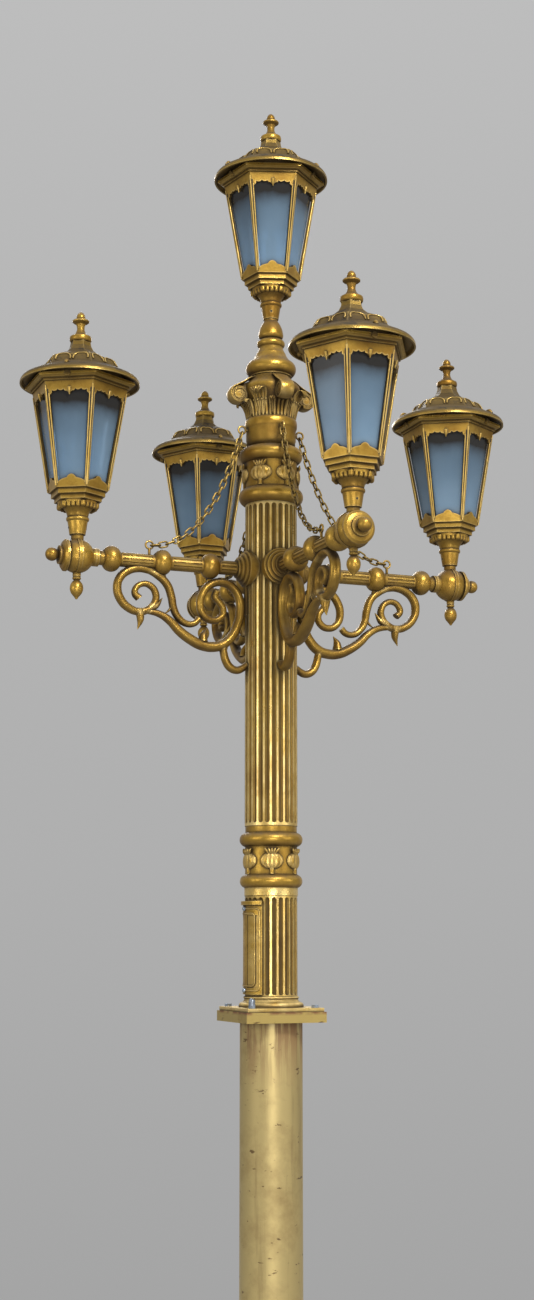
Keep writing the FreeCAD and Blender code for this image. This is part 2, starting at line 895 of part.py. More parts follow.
def capsule(spot, radius, tall):
    """An upright round-ended rod with its middle at a spot."""
    side = tall / 2 - radius
    slant = radius * math.sqrt(0.5)
    low = Vector(0, 0, -tall / 2)
    high = Vector(0, 0, tall / 2)
    low_edge = Vector(radius, 0, -side)
    high_edge = Vector(radius, 0, side)
    edges = [
        Part.Arc(low, Vector(slant, 0, -side - slant), low_edge).toShape(),
        Part.makeLine(low_edge, high_edge),
        Part.Arc(high_edge, Vector(slant, 0, side + slant), high).toShape(),
        Part.makeLine(high, low),
    ]
    shape = Part.Face(Part.Wire(edges)).revolve(Vector(0, 0, 0), Vector(0, 0, 1), 360)
    shape.Placement = Placement(spot, Rotation())
    return shape


def around(radius, angle, height):
    """A spot on a circle about the column."""
    turned_by = math.radians(angle)
    return Vector(radius * math.cos(turned_by), radius * math.sin(turned_by), height)


def seed_heads(radius, middle, start):
    """Six ribbed seed heads with crowns and stems around a frieze."""
    shapes = []
    for number in range(6):
        heading = start + 60 * number
        for lobe in range(-2, 3):
            inset = 2.0 + 0.8 * abs(lobe)
            spot = around(radius - inset, heading + lobe * 9, middle)
            shapes.append(capsule(spot, 8, 38 - 3.5 * lobe * lobe))
        crown = Part.makeCone(6, 14, 11)
        crown.Placement = Placement(around(radius - 5, heading, middle + 15.5), Rotation())
        stem = Part.makeCylinder(6.3, 15)
        stem.Placement = Placement(around(radius - 1, heading, middle - 32), Rotation())
        shapes += [crown, stem]
    return shapes


def carved(label, body, carvings, foot_alias):
    """A turned piece with carving grown on it."""
    doc.recompute()
    shape = body.Shape.copy()
    shape.Placement = Placement()
    shape = shape.fuse(carvings)
    piece = doc.addObject("Part::Feature", label)
    piece.Shape = shape
    lifted(piece, "dims." + foot_alias)
    return emit(label, piece)


lower_collar = turned_body("lower_collar_turned", "lower_collar")
carved("lower_collar", lower_collar, seed_heads(64, 64, 10), "lower_collar_foot")
upper_collar = turned_body("upper_collar_turned", "upper_collar")
carved("upper_collar", upper_collar, seed_heads(66, 73, 45), "upper_collar_foot")

# Main shaft.
shaft = turned_body("main_shaft_casting", "main_shaft")
flute(
    shaft,
    "shaft_radius",
    "flute_axis_lift",
    "shaft_local_flute_foot",
    "shaft_local_flute_head",
    "flute_radius",
    "flute_count",
    "Z_Axis",
)
lifted(shaft, "dims.shaft_foot")
emit("main_shaft", shaft)


def prism_of(points, width):
    """A flat-sided piece from a closed outline in the radius and height plane."""
    wire = Part.makePolygon([Vector(p[0], -width / 2, p[1]) for p in points + points[:1]])
    return Part.Face(wire).extrude(Vector(0, width, 0))


def arc_run(points):
    """Edges of short arcs through every second point of a run."""
    edges = []
    for index in range(0, len(points) - 2, 2):
        start, middle, end = points[index : index + 3]
        chord = end.sub(start)
        away = middle.sub(start).cross(chord).Length / chord.Length
        if away < 0.02:
            edges.append(Part.makeLine(start, end))
        else:
            edges.append(Part.Arc(start, middle, end).toShape())
    return edges


def smooth_band(spine, half_widths, width):
    """A band of changing thickness along a smooth line in the radius and height plane."""
    guide = Part.BSplineCurve()
    guide.interpolate([Vector(p[0], 0, p[1]) for p in spine])
    count = 2 * len(spine)
    left = []
    right = []
    first, last = guide.FirstParameter, guide.LastParameter
    for step in range(count + 1):
        part = step / count
        parameter = first + (last - first) * part
        spot = guide.value(parameter)
        heading = guide.tangent(parameter)[0]
        side = Vector(-heading.z, 0, heading.x)
        place = part * (len(half_widths) - 1)
        low = min(int(place), len(half_widths) - 2)
        half = half_widths[low] + (half_widths[low + 1] - half_widths[low]) * (place - low)
        left.append(spot.add(Vector(side).multiply(half)))
        right.append(spot.sub(Vector(side).multiply(half)))
    right.reverse()
    edges = arc_run(left)
    edges.append(Part.makeLine(left[-1], right[0]))
    edges += arc_run(right)
    edges.append(Part.makeLine(right[-1], left[0]))
    face = Part.Face(Part.Wire(edges))
    face.translate(Vector(0, -width / 2, 0))
    return face.extrude(Vector(0, width, 0))


def round_bar(x, z, radius, width):
    """A short cylinder across the bracket plane."""
    return Part.makeCylinder(radius, width, Vector(x, -width / 2, z), Vector(0, 1, 0))


# Capital: bell with four volutes under the arm directions and four leaves between them.
capital_turned = turned_body("capital_turned", "capital")
capital_parts = []
for number in range(4):
    turn_by = Placement(Vector(0, 0, 0), Rotation(Vector(0, 0, 1), 90 * number))
    disc = round_bar(91, 132.5, 26.6, 34)
    for low in (-17.5, 13.5):
        ring = Part.makeCylinder(20.5, 4, Vector(91, low, 132.5), Vector(0, 1, 0))
        core = Part.makeCylinder(9, 4, Vector(91, low, 132.5), Vector(0, 1, 0))
        disc = disc.cut(ring.cut(core))
    bridge = prism_of([(46, 185), (60, 181), (80, 170), (97, 157), (97, 125), (46, 121)], 26)
    fan = smooth_band([(55, 64), (64, 92), (71, 120), (82, 136), (94, 137), (98, 127)], (6, 6, 5, 4, 3), 38)
    fan.Placement = Placement(Vector(0, 0, 0), Rotation(Vector(0, 0, 1), 45))
    small = []
    for heading in (16, 74):
        leaf = smooth_band([(54, 63), (63, 86), (70, 101), (77, 107), (82, 101)], (5, 5, 4, 2.5), 17)
        leaf.Placement = Placement(Vector(0, 0, 0), Rotation(Vector(0, 0, 1), heading))
        small.append(leaf)
    for shape in [disc, bridge, fan] + small:
        shape.Placement = turn_by.multiply(shape.Placement)
        capital_parts.append(shape)
carved("capital", capital_turned, capital_parts, "capital_foot")

# Neck spire between the capital and the top lantern.
spire = turned_body("neck_spire", "neck_spire")
lifted(spire, "dims.spire_foot")
emit("neck_spire", spire)

# Arm: bar with a stepped rosette, three beads and stopped channels.
arm_master = new_body("arm_casting")
sketch = new_sketch(arm_master, "XY_Plane")
points = [("arm_root_along", "arm_bore", None, 1)]
for name, radius, along in ARM_STEPS:
    points.append(("arm_" + name + "_along", "arm_" + name + "_radius", None, 1))
points.append(("arm_fourth_edge_along", "arm_bar_radius", None, 1))
for bead in ("first", "second", "third"):
    points.append((bead + "_bead_start", "arm_bar_radius", None, 1))
    points.append((bead + "_bead_stop", "arm_bar_radius", "bead_half_arc", -1))
points.append(("arm_collar_start", "arm_bar_radius", None, 1))
points.append(("arm_collar_start", "arm_collar_radius", None, 1))
points.append(("arm_end", "arm_collar_radius", None, 1))
points.append(("arm_end", "arm_bore", None, 1))
outline(sketch, points)
feature = arm_master.newObject("PartDesign::Revolution", "arm_turned")
feature.Profile = sketch
feature.ReferenceAxis = (sketch, ["H_Axis"])
feature.Angle = 360
arm_master.Tip = feature
for letter in "abc":
    flute(
        arm_master,
        "arm_bar_radius",
        "arm_flute_lift",
        "arm_flute_start_" + letter,
        "arm_flute_stop_" + letter,
        "arm_flute_radius",
        "arm_flute_count",
        "X_Axis",
    )
saddle = rod("arm_saddle", "dims.shaft_radius + dims.saddle_clearance", "200", ("0", "0", "-100"))
arm_piece = cut("arm_piece", arm_master, [saddle])

# Hub: ball with a neck to the arm, a seat on top and a seat below.
ball = doc.addObject("Part::Sphere", "hub_ball")
ball.setExpression("Radius", "dims.hub_radius")


def lying_rod(label, radius, start, length):
    """A cylinder along the arm from expressions."""
    piece = doc.addObject("Part::Cylinder", label)
    piece.setExpression("Radius", radius)
    piece.setExpression("Height", length)
    piece.Placement = Placement(Vector(0, 0, 0), Rotation(Vector(0, 1, 0), 90))
    piece.setExpression("Placement.Base.x", start)
    return piece


hub_neck = lying_rod(
    "hub_neck", "dims.hub_neck_radius", "dims.arm_end - dims.arm_reach", "dims.arm_reach - dims.arm_end"
)
hub_band = lying_rod("hub_band", "dims.hub_radius + 1.5", "-5", "10")
hub_top = rod("hub_seat", "dims.hub_top_radius", "dims.hub_top", ("0", "0", "0"))
hub_foot = rod("hub_drop", "dims.hub_foot_radius", "dims.hub_foot", ("0", "0", "-dims.hub_foot"))
hub_solid = fuse("hub_solid", [ball, hub_neck, hub_band, hub_top, hub_foot])
trim = box("hub_trim", ("60", "120", "120"), ("dims.hub_cap_seat + 30", "0", "-60"))
hub_bore = lying_rod("hub_bore", "dims.arm_bore", "dims.arm_end - dims.arm_reach - 1", "dims.arm_reach - dims.arm_end + 1")
hub_riser = rod("hub_riser", "dims.cup_bore_low_radius", "dims.hub_top + 1", ("0", "0", "0"))
hub_piece = cut("hub_piece", hub_solid, [trim, hub_bore, hub_riser])

# Cap with its knob on the outer face of the hub.
cap = new_body("hub_cap")
sketch = new_sketch(cap, "XY_Plane")
points = [("cap_rim_start_along", "cap_axis", None, 1)]
for name, radius, along in CAP_STEPS:
    points.append(("cap_" + name + "_along", "cap_" + name + "_radius", None, 1))
points.append(("cap_stem_start_along", "cap_axis", None, 1))
outline(sketch, points)
feature = cap.newObject("PartDesign::Revolution", "cap_turned")
feature.Profile = sketch
feature.ReferenceAxis = (sketch, ["H_Axis"])
feature.Angle = 360
knob = body_knob = doc.addObject("Part::Sphere", "cap_knob")
knob.setExpression("Radius", "dims.knob_arc")
knob.setExpression("Placement.Base.x", "dims.knob_start + dims.knob_arc")
cap_piece = fuse("cap_piece", [cap, knob])

drop_master = turned_body("drop_master", "drop_finial")
drop_master.Placement = Placement(Vector(0, 0, 0), Rotation(Vector(1, 0, 0), 180))

# Bracket under the arm: scrolls, leaves and the hook to the column.
STRANDS = [
    # outer loop from the bar round into its inner curl
    (
        [(300, -29), (322, -22), (350, -19), (377, -27), (397, -46), (403, -70), (395, -97),
         (374, -118), (347, -126), (322, -118), (306, -99), (305, -77), (318, -60), (338, -56),
         (354, -66), (358, -81), (347, -93)],
        (7, 8.5, 9.5, 10, 10, 10, 9.5, 9, 8.5, 8, 7.5, 7, 6.5, 7),
    ),
    # upper stem from the loop down to its tail
    (
        [(322, -22), (302, -31), (276, -53), (264, -83), (258, -112), (246, -134), (225, -148),
         (204, -146), (192, -134)],
        (7.5, 9, 9.5, 9, 8.5, 8, 7, 6),
    ),
    # lower stem, inner loop and its curl
    (
        [(335, -124), (320, -124), (293, -129), (267, -144), (243, -167), (213, -187), (183, -200),
         (153, -202), (128, -194), (105, -172), (90, -142), (83, -110), (86, -75), (104, -49),
         (133, -38), (162, -46), (182, -68), (189, -98), (180, -124), (158, -136), (136, -128),
         (128, -108), (138, -90), (150, -76), (146, -62)],
        (6, 7.5, 10, 12, 12.5, 12, 11, 10.5, 10, 10, 9.5, 9, 8.5, 8, 7.5, 7),
    ),
    # hook back to the column
    (
        [(132, -190), (127, -212), (121, -234), (109, -251), (92, -257), (78, -252), (69, -243)],
        (8, 9, 9.5, 9.5, 8.5, 8),
    ),
]
BULBS = [(345, -92, 11), (193, -133, 10), (147, -62, 11)]
LEAVES = [
    [(352, -122), (338, -124), (343, -148)],
    [(356, -84), (350, -74), (372, -88)],
    [(172, -160), (190, -196), (176, -196)],
    [(96, -150), (84, -130), (74, -158)],
]
LUGS = [(289, -31, 9, 14), (133, -32, 9, 12)]


def bracket_shape():
    """The whole bracket as one casting, in the plane of its arm."""
    wide = size("bracket_width")
    rib = size("bracket_rib_width")
    inset = size("bracket_rib_inset")
    shapes = []
    for spine, halves in STRANDS:
        shapes.append(smooth_band(spine, halves, rib))
        shapes.append(smooth_band(spine, [half - inset for half in halves], wide))
    for x, z, radius in BULBS:
        shapes.append(round_bar(x, z, radius, wide + 4))
    for leaf in LEAVES:
        shapes.append(prism_of(leaf, rib - 4))
    strip = Part.makeBox(7, rib, 92, Vector(62, -rib / 2, -120))
    shapes.append(strip)
    shapes.append(Part.makeBox(22, rib, 12, Vector(62, -rib / 2, -116)))
    shapes.append(Part.makeBox(10, rib, 26, Vector(62, -rib / 2, -258)))
    for x, z, half, tall in LUGS:
        shapes.append(Part.makeBox(2 * half, rib - 4, tall, Vector(x - half, -(rib - 4) / 2, z - tall)))
    whole = shapes[0].fuse(shapes[1:])
    reach = size("shaft_radius") + size("saddle_clearance")
    whole = whole.cut(Part.makeCylinder(reach, 400, Vector(0, 0, -350)))
    gap = size("saddle_clearance")
    bar = Part.makeCylinder(
        size("arm_bar_radius") + gap, 500, Vector(40, 0, 0), Vector(1, 0, 0)
    )
    whole = whole.cut(bar)
    for bead in ("first_bead", "second_bead", "third_bead"):
        ball = Part.makeSphere(size("bead_radius") + gap, Vector(size(bead), 0, 0))
        keep = Part.makeBox(
            2 * size("bead_half_length"), 90, 90, Vector(size(bead) - size("bead_half_length"), -45, -45)
        )
        whole = whole.cut(ball.common(keep))
    root = size("arm_root_along")
    for edge, stop in (
        ("rosette_edge", "rosette_step"),
        ("second_edge", "third_step"),
        ("third_edge", "fourth_step"),
        ("fourth_edge", "fourth_edge"),
    ):
        radius = size("arm_" + edge + "_radius") + gap
        length = size("arm_" + stop + "_along") + gap - root
        whole = whole.cut(Part.makeCylinder(radius, length, Vector(root, 0, 0), Vector(1, 0, 0)))
    return whole


bracket_master = doc.addObject("Part::Feature", "bracket_master")
bracket_master.Shape = bracket_shape()


def link_shape():
    """One chain link lying along its own length."""
    wire_radius = size("chain_wire") / 2
    bend = size("link_width") / 2 - wire_radius
    run = size("link_length") / 2 - wire_radius - bend
    path = Part.Wire(
        [
            Part.makeLine(Vector(-run, bend, 0), Vector(run, bend, 0)),
            Part.Arc(Vector(run, bend, 0), Vector(run + bend, 0, 0), Vector(run, -bend, 0)).toShape(),
            Part.makeLine(Vector(run, -bend, 0), Vector(-run, -bend, 0)),
            Part.Arc(Vector(-run, -bend, 0), Vector(-run - bend, 0, 0), Vector(-run, bend, 0)).toShape(),
        ]
    )
    ring = Part.Wire(
        [Part.Circle(Vector(0, bend, 0), Vector(1, 0, 0), wire_radius).toShape()]
    )
    return path.makePipeShell([ring], True, False)


def chain_line(count):
    """Even spots along the hanging line between the two eyes."""
    slack = size("chain_slack")
    x0 = size("arm_eye_reach") - size("eye_ring_radius") + slack
    z0 = size("arm_height") + size("arm_eye_lift")
    x1 = size("neck_eye_reach")
    z1 = size("neck_eye_height") - size("eye_ring_radius") + slack
    low, high = 20.0, 4000.0
    wanted = size("link_pitch") * count

    def curve(sag):
        run = x0 - x1
        rise = z1 - z0
        length = math.sqrt(max(wanted ** 2 - rise ** 2, 1.0))
        return 2 * sag * math.sinh(run / (2 * sag)) - length

    for attempt in range(80):
        middle = (low + high) / 2
        if curve(middle) > 0:
            low = middle
        else:
            high = middle
    sag = (low + high) / 2
    run = x0 - x1
    rise = z1 - z0
    shift = sag * math.atanh(rise / wanted) - run / 2

    def height(u):
        return sag * (math.cosh((u + shift) / sag) - math.cosh(shift / sag)) + z0

    spots = []
    for number in range(count):
        target = size("link_pitch") * (number + 0.5)
        base = sag * math.sinh(shift / sag)
        u = sag * math.asinh((target + base) / sag) - shift
        slope = math.sinh((u + shift) / sag)
        spots.append((x0 - u, height(u), math.degrees(math.atan(slope))))
    return spots


link = link_shape()
if link.ShapeType != "Solid":
    link = Part.Solid(link)
chain_links = []
for number, (x, z, slope) in enumerate(chain_line(int(size("link_count")))):
    one = link.copy()
    roll = Rotation(Vector(1, 0, 0), 90 * (number % 2))
    tilt = Rotation(Vector(0, 1, 0), slope)
    one.Placement = Placement(Vector(x, 0, z), tilt.multiply(roll))
    chain_links.append(one)
chain_master = doc.addObject("Part::Feature", "chain_master")
chain_master.Shape = Part.makeCompound(chain_links)

# Eyes at both ends of each chain.
eye_ring = doc.addObject("Part::Torus", "arm_eye_ring")
eye_ring.setExpression("Radius1", "dims.eye_ring_radius")
eye_ring.setExpression("Radius2", "dims.eye_wire / 2")
eye_ring.Placement = Placement(Vector(0, 0, 0), Rotation(Vector(1, 0, 0), 90))
eye_ring.setExpression("Placement.Base.x", "dims.arm_eye_reach")
eye_ring.setExpression("Placement.Base.z", "dims.arm_height + dims.arm_eye_lift")
arm_eye_shank = rod(
    "arm_eye_shank",
    "dims.eye_wire / 2 + 1",
    "dims.arm_eye_lift - dims.arm_bar_radius - dims.eye_ring_radius + 1",
    ("dims.arm_eye_reach", "0", "dims.arm_height + dims.arm_bar_radius + dims.saddle_clearance"),
)
arm_eye = fuse("arm_eye", [eye_ring, arm_eye_shank])
neck_ring = doc.addObject("Part::Torus", "neck_eye_ring")
neck_ring.setExpression("Radius1", "dims.eye_ring_radius")
neck_ring.setExpression("Radius2", "dims.eye_wire / 2")
neck_ring.Placement = Placement(Vector(0, 0, 0), Rotation(Vector(1, 0, 0), 90))
neck_ring.setExpression("Placement.Base.x", "dims.neck_eye_reach")
neck_ring.setExpression("Placement.Base.z", "dims.neck_eye_height")
neck_shank = doc.addObject("Part::Cylinder", "neck_eye_shank")
neck_shank.setExpression("Radius", "dims.eye_wire / 2 + 1")
neck_shank.setExpression("Height", "dims.neck_eye_reach - dims.eye_ring_radius - dims.neck_eye_root")
neck_shank.Placement = Placement(Vector(0, 0, 0), Rotation(Vector(0, 1, 0), 90))
neck_shank.setExpression("Placement.Base.x", "dims.neck_eye_root")
neck_shank.setExpression("Placement.Base.z", "dims.neck_eye_height")
neck_eye = fuse("neck_eye", [neck_ring, neck_shank])


def hexagon(body, corner_alias, height_formula):
    """A six-sided sketch with a corner on the second axis, at a height."""
    sketch = new_sketch(body, "XY_Plane")
    sketch.setExpression("AttachmentOffset.Base.z", height_formula)
    radius = size(corner_alias)
    spots = [
        Vector(radius * math.cos(math.radians(90 + 60 * k)), radius * math.sin(math.radians(90 + 60 * k)), 0)
        for k in range(6)
    ]
    for k in range(6):
        sketch.addGeometry(Part.LineSegment(spots[k], spots[(k + 1) % 6]), False)
    ring = sketch.addGeometry(Part.Circle(Vector(0, 0, 0), Vector(0, 0, 1), radius), True)
    for k in range(6):
        sketch.addConstraint(Sketcher.Constraint("Coincident", k, 2, (k + 1) % 6, 1))
    sketch.addConstraint(Sketcher.Constraint("Coincident", ring, 3, -1, 1))
    index = sketch.addConstraint(Sketcher.Constraint("Radius", ring, radius))
    sketch.setExpression("Constraints[%d]" % index, "dims." + corner_alias)
    for k in range(6):
        sketch.addConstraint(Sketcher.Constraint("PointOnObject", k, 1, ring))
    for k in range(1, 5):
        sketch.addConstraint(Sketcher.Constraint("Equal", 0, k))
    sketch.addConstraint(Sketcher.Constraint("PointOnObject", 0, 1, -2))
    sketch.Visibility = False
    return sketch


def hex_loft(body, sections, additive=True):
    """A straight-sided loft through six-sided sections: corner alias and height formula."""
    sketches = [hexagon(body, corner, height) for corner, height in sections]
    kind = "PartDesign::AdditiveLoft" if additive else "PartDesign::SubtractiveLoft"
    feature = body.newObject(kind, body.Name + "_hex")
    feature.Profile = sketches[0]
    feature.Sections = sketches[1:]
    feature.Ruled = True
    body.Tip = feature
    return feature


# Lantern cup: socket, bowl, leaf gallery and two six-sided steps.
cup_body = turned_body("cup_casting", "cup")
hex_loft(
    cup_body,
    [("step_low_corner", "dims.step_low_foot"), ("step_low_corner", "dims.step_high_foot")],
)
hex_loft(cup_body, [("step_high_corner", "dims.step_high_foot"), ("step_high_corner", "dims.cup_top")])
cup_bore = rod("cup_bore", "dims.cup_bore_low_radius", "dims.cup_top + 2", ("0", "0", "-1"))
cup_bored = cut("cup_bored", cup_body, [cup_bore])
doc.recompute()
leaves = []
for number in range(24):
    big = number % 4 == 2
    reach = 46 if big else 43.5
    leaves.append(capsule(around(reach, 15 * number, 71), 7 if big else 5.5, 20))
cup_master = doc.addObject("Part::Feature", "cup_master")
cup_master.Shape = cup_bored.Shape.fuse(leaves)

# Lantern frame: six-sided flared shell with one window in each side and a stepped cornice.
frame_master = new_body("frame_master")
hex_loft(
    frame_master,
    [("frame_foot_corner", "dims.cup_top"), ("frame_top_corner", "dims.cup_top + dims.frame_tall")],
)
hex_loft(
    frame_master,
    [
        ("lower_cornice_corner", "dims.cup_top + dims.frame_tall"),
        ("lower_cornice_corner", "dims.cup_top + dims.frame_tall + dims.cornice_step"),
    ],
)
hex_loft(
    frame_master,
    [
        ("upper_cornice_corner", "dims.cup_top + dims.frame_tall + dims.cornice_step"),
        ("upper_cornice_corner", "dims.seat_top"),
    ],
)
hex_loft(
    frame_master,
    [("frame_foot_inner", "dims.cup_top"), ("frame_top_inner", "dims.cup_top + dims.frame_tall")],
    False,
)
hex_loft(
    frame_master,
    [("frame_top_inner", "dims.cup_top + dims.frame_tall"), ("frame_top_inner", "dims.seat_top")],
    False,
)



def tilted_sketch(body, inset_formula):
    """A sketch in the plane of the side that faces along the first axis, or parallel inside it."""
    sketch = new_sketch(body, "YZ_Plane")
    sketch.AttachmentOffset = Placement(Vector(0, 0, 0), Rotation(Vector(1, 0, 0), 8))
    sketch.setExpression("AttachmentOffset.Rotation.Angle", "dims.frame_lean")
    sketch.setExpression(
        "AttachmentOffset.Base.y", "dims.cup_top + (%s) * sin(dims.frame_lean)" % inset_formula
    )
    sketch.setExpression(
        "AttachmentOffset.Base.z",
        "dims.frame_foot_apothem - (%s) * cos(dims.frame_lean)" % inset_formula,
    )
    sketch.Visibility = False
    return sketch


window = tilted_sketch(frame_master, "0")
points = []
for name, across, up, arc in WINDOW:
    stem = "window_" + name
    points.append((stem + "_across", stem + "_up", stem + "_arc" if arc else None, 1 if arc > 0 else -1))
right_side = list(WINDOW)
for index in range(len(WINDOW) - 2, -1, -1):
    stem = "window_" + WINDOW[index][0]
    arc = WINDOW[index + 1][3]
    arc_alias = "window_" + WINDOW[index + 1][0] + "_arc" if arc else None
    points.append((stem + "_mirror", stem + "_up", arc_alias, 1 if arc > 0 else -1))
for name in ("crest_edge", "crest_step"):
    points.append(("window_" + name + "_mirror", "window_" + name + "_up", None, 1))
points.append(("window_crest_top_across", "window_crest_top_up", "crest_arc", -1))
points.append(("window_crest_step_across", "window_crest_step_up", "crest_arc", -1))
points.append(("window_crest_edge_across", "window_crest_edge_up", None, 1))
outline(window, points)
pocket = frame_master.newObject("PartDesign::Pocket", "window_cut")
pocket.Profile = window
pocket.setExpression("Length", "dims.frame_wall + 4")
doc.recompute()
pattern = frame_master.newObject("PartDesign::PolarPattern", "windows")
pattern.Originals = [pocket]
pattern.Axis = axis_of(frame_master, "Z_Axis")
pattern.Angle = 360
pattern.Occurrences = 6
frame_master.Tip = pattern

# Six flat panes just inside the windows.
panes_master = new_body("panes_master")
pane = tilted_sketch(panes_master, "dims.frame_wall + dims.pane_clearance")
outline(
    pane,
    [
        ("pane_foot_half", "pane_foot", None, 1),
        ("pane_top_half", "pane_top", None, 1),
        ("pane_top_half_mirror", "pane_top", None, 1),
        ("pane_foot_half_mirror", "pane_foot", None, 1),
    ],
)
pad = panes_master.newObject("PartDesign::Pad", "pane_pad")
pad.Profile = pane
pad.Reversed = True
pad.setExpression("Length", "dims.pane_thickness")
doc.recompute()
pattern = panes_master.newObject("PartDesign::PolarPattern", "panes")
pattern.Originals = [pad]
pattern.Axis = axis_of(panes_master, "Z_Axis")
pattern.Angle = 360
pattern.Occurrences = 6
panes_master.Tip = pattern

# Lamp and its holder.
holder_master = rod("holder_master", "dims.holder_radius", "dims.holder_tall", ("0", "0", "dims.cup_top"))
lamp_master = turned_body("lamp_master", "lamp")

# Roof: round brim with a hanging lip, six-sided tiers above, hollow below.
roof_master = new_body("roof_master")
turn(roof_master, "roof_brim")
hex_loft(roof_master, [("roof_%s_corner" % n, "dims.roof_%s_height" % n) for n, c, z in ROOF_TIERS])
hex_loft(roof_master, [("roof_%s_corner" % n, "dims.roof_%s_height" % n) for n, c, z in ROOF_CONE])
sketch = new_sketch(roof_master, "XZ_Plane")
points = [("hollow_axis", "hollow_low_height", None, 1)]
for name, radius, height in ROOF_HOLLOW:
    points.append(("hollow_%s_radius" % name, "hollow_%s_height" % name, None, 1))
points.append(("hollow_axis", "hollow_tip_height", None, 1))
outline(sketch, points)
feature = roof_master.newObject("PartDesign::Groove", "roof_hollow")
feature.Profile = sketch
feature.ReferenceAxis = (sketch, ["V_Axis"])
feature.Angle = 360
roof_master.Tip = feature
finial_master = turned_body("finial_master", "roof_finial")

# Thumb screws on three sides of the cornice and one set screw in the socket.
thumb_parts = []
for heading in (60, 180, 300):
    shank = lying_rod("thumb_shank", "dims.thumb_shank_radius", "dims.thumb_seat", "dims.thumb_shank_length")
    shank.setExpression("Placement.Base.z", "dims.thumb_height")
    knob = lying_rod(
        "thumb_knob",
        "dims.thumb_knob_radius",
        "dims.thumb_seat + dims.thumb_shank_length",
        "dims.thumb_knob_length",
    )
    knob.setExpression("Placement.Base.z", "dims.thumb_height")
    one = fuse("thumb_screw", [shank, knob])
    thumb_parts.append(copy_of("thumb_copy", [one], Vector(0, 0, 0), heading))
doc.recompute()

# Placing the four arms and the five lanterns.
ARMS = [("left", 180), ("right", 0), ("front", -90), ("rear", 90)]
LANTERNS = [("left", 180, 180), ("right", 0, 0), ("front", -90, 90), ("rear", 90, 90)]
arm_at = Vector(0, 0, size("arm_height"))
caps = []
drops = []
eyes = []
for name, heading in ARMS:
    turned_to = Rotation(Vector(0, 0, 1), heading)
    hub_at = turned_to.multVec(Vector(size("arm_reach"), 0, 0)).add(arm_at)
    emit("arm_" + name, copy_of("arm_" + name, [arm_piece], arm_at, heading))
    emit("hub_" + name, copy_of("hub_" + name, [hub_piece], hub_at, heading))
    emit("bracket_" + name, copy_of("bracket_" + name, [bracket_master], arm_at, heading))
    emit("chain_" + name, copy_of("chain_" + name, [chain_master], Vector(0, 0, 0), heading))
    caps.append(copy_of("cap_" + name, [cap_piece], hub_at, heading))
    drops.append(copy_of("drop_" + name, [drop_master], hub_at, heading))
    eyes.append(copy_of("eye_low_" + name, [arm_eye], Vector(0, 0, 0), heading))
    eyes.append(copy_of("eye_high_" + name, [neck_eye], Vector(0, 0, 0), heading))
for label, links in (("hub_caps", caps), ("drop_finials", drops), ("chain_eyes", eyes)):
    group = doc.addObject("Part::Compound", label)
    group.Links = links
    emit(label, group)

stations = []
for name, heading, facing in LANTERNS:
    spot = Rotation(Vector(0, 0, 1), heading).multVec(Vector(size("arm_reach"), 0, 0))
    stations.append((name, spot.add(Vector(0, 0, size("arm_height") + size("hub_top"))), facing))
stations.append(("top", Vector(0, 0, size("spire_top")), size("top_lantern_turn")))
holders = []
lamps = []
thumbs = []
for name, spot, facing in stations:
    emit("cup_" + name, copy_of("cup_" + name, [cup_master], spot, facing))
    emit("frame_" + name, copy_of("frame_" + name, [frame_master], spot, facing))
    emit("panes_" + name, copy_of("panes_" + name, [panes_master], spot, facing))
    emit("roof_" + name, copy_of("roof_" + name, [roof_master], spot, facing))
    emit("finial_" + name, copy_of("finial_" + name, [finial_master], spot, facing))
    holders.append(copy_of("holder_" + name, [holder_master], spot, facing))
    lamps.append(copy_of("lamp_" + name, [lamp_master], spot, facing))
    thumbs.append(copy_of("thumbs_" + name, thumb_parts, spot, facing))
for label, links in (("lamp_holders", holders), ("lamps", lamps), ("thumb_screws", thumbs)):
    group = doc.addObject("Part::Compound", label)
    group.Links = links
    emit(label, group)

doc.recompute()
problems = []
for item in doc.Objects:
    if "Invalid" in item.State or "Error" in item.State:
        problems.append(item.Label + ": " + item.getStatusString())
for label, feature in nodes:
    if feature.Shape.isNull() or not feature.Shape.isValid() or not feature.Shape.Solids:
        problems.append(label)
if problems:
    raise RuntimeError("pieces in error: " + ", ".join(problems))
os.makedirs("parts", exist_ok=True)
for label, feature in nodes:
    feature.Shape.exportStep(os.path.join("parts", label + ".step"))
    print(label, len(feature.Shape.Solids), round(feature.Shape.Volume))
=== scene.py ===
"""Street light with five lanterns: finishes, carved detail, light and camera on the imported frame."""

import json
import logging
import math
from dataclasses import dataclass
from enum import Enum
from typing import Callable, Dict, List, Sequence, Tuple, Union

import bmesh
import bpy
from mathutils import Matrix, Vector

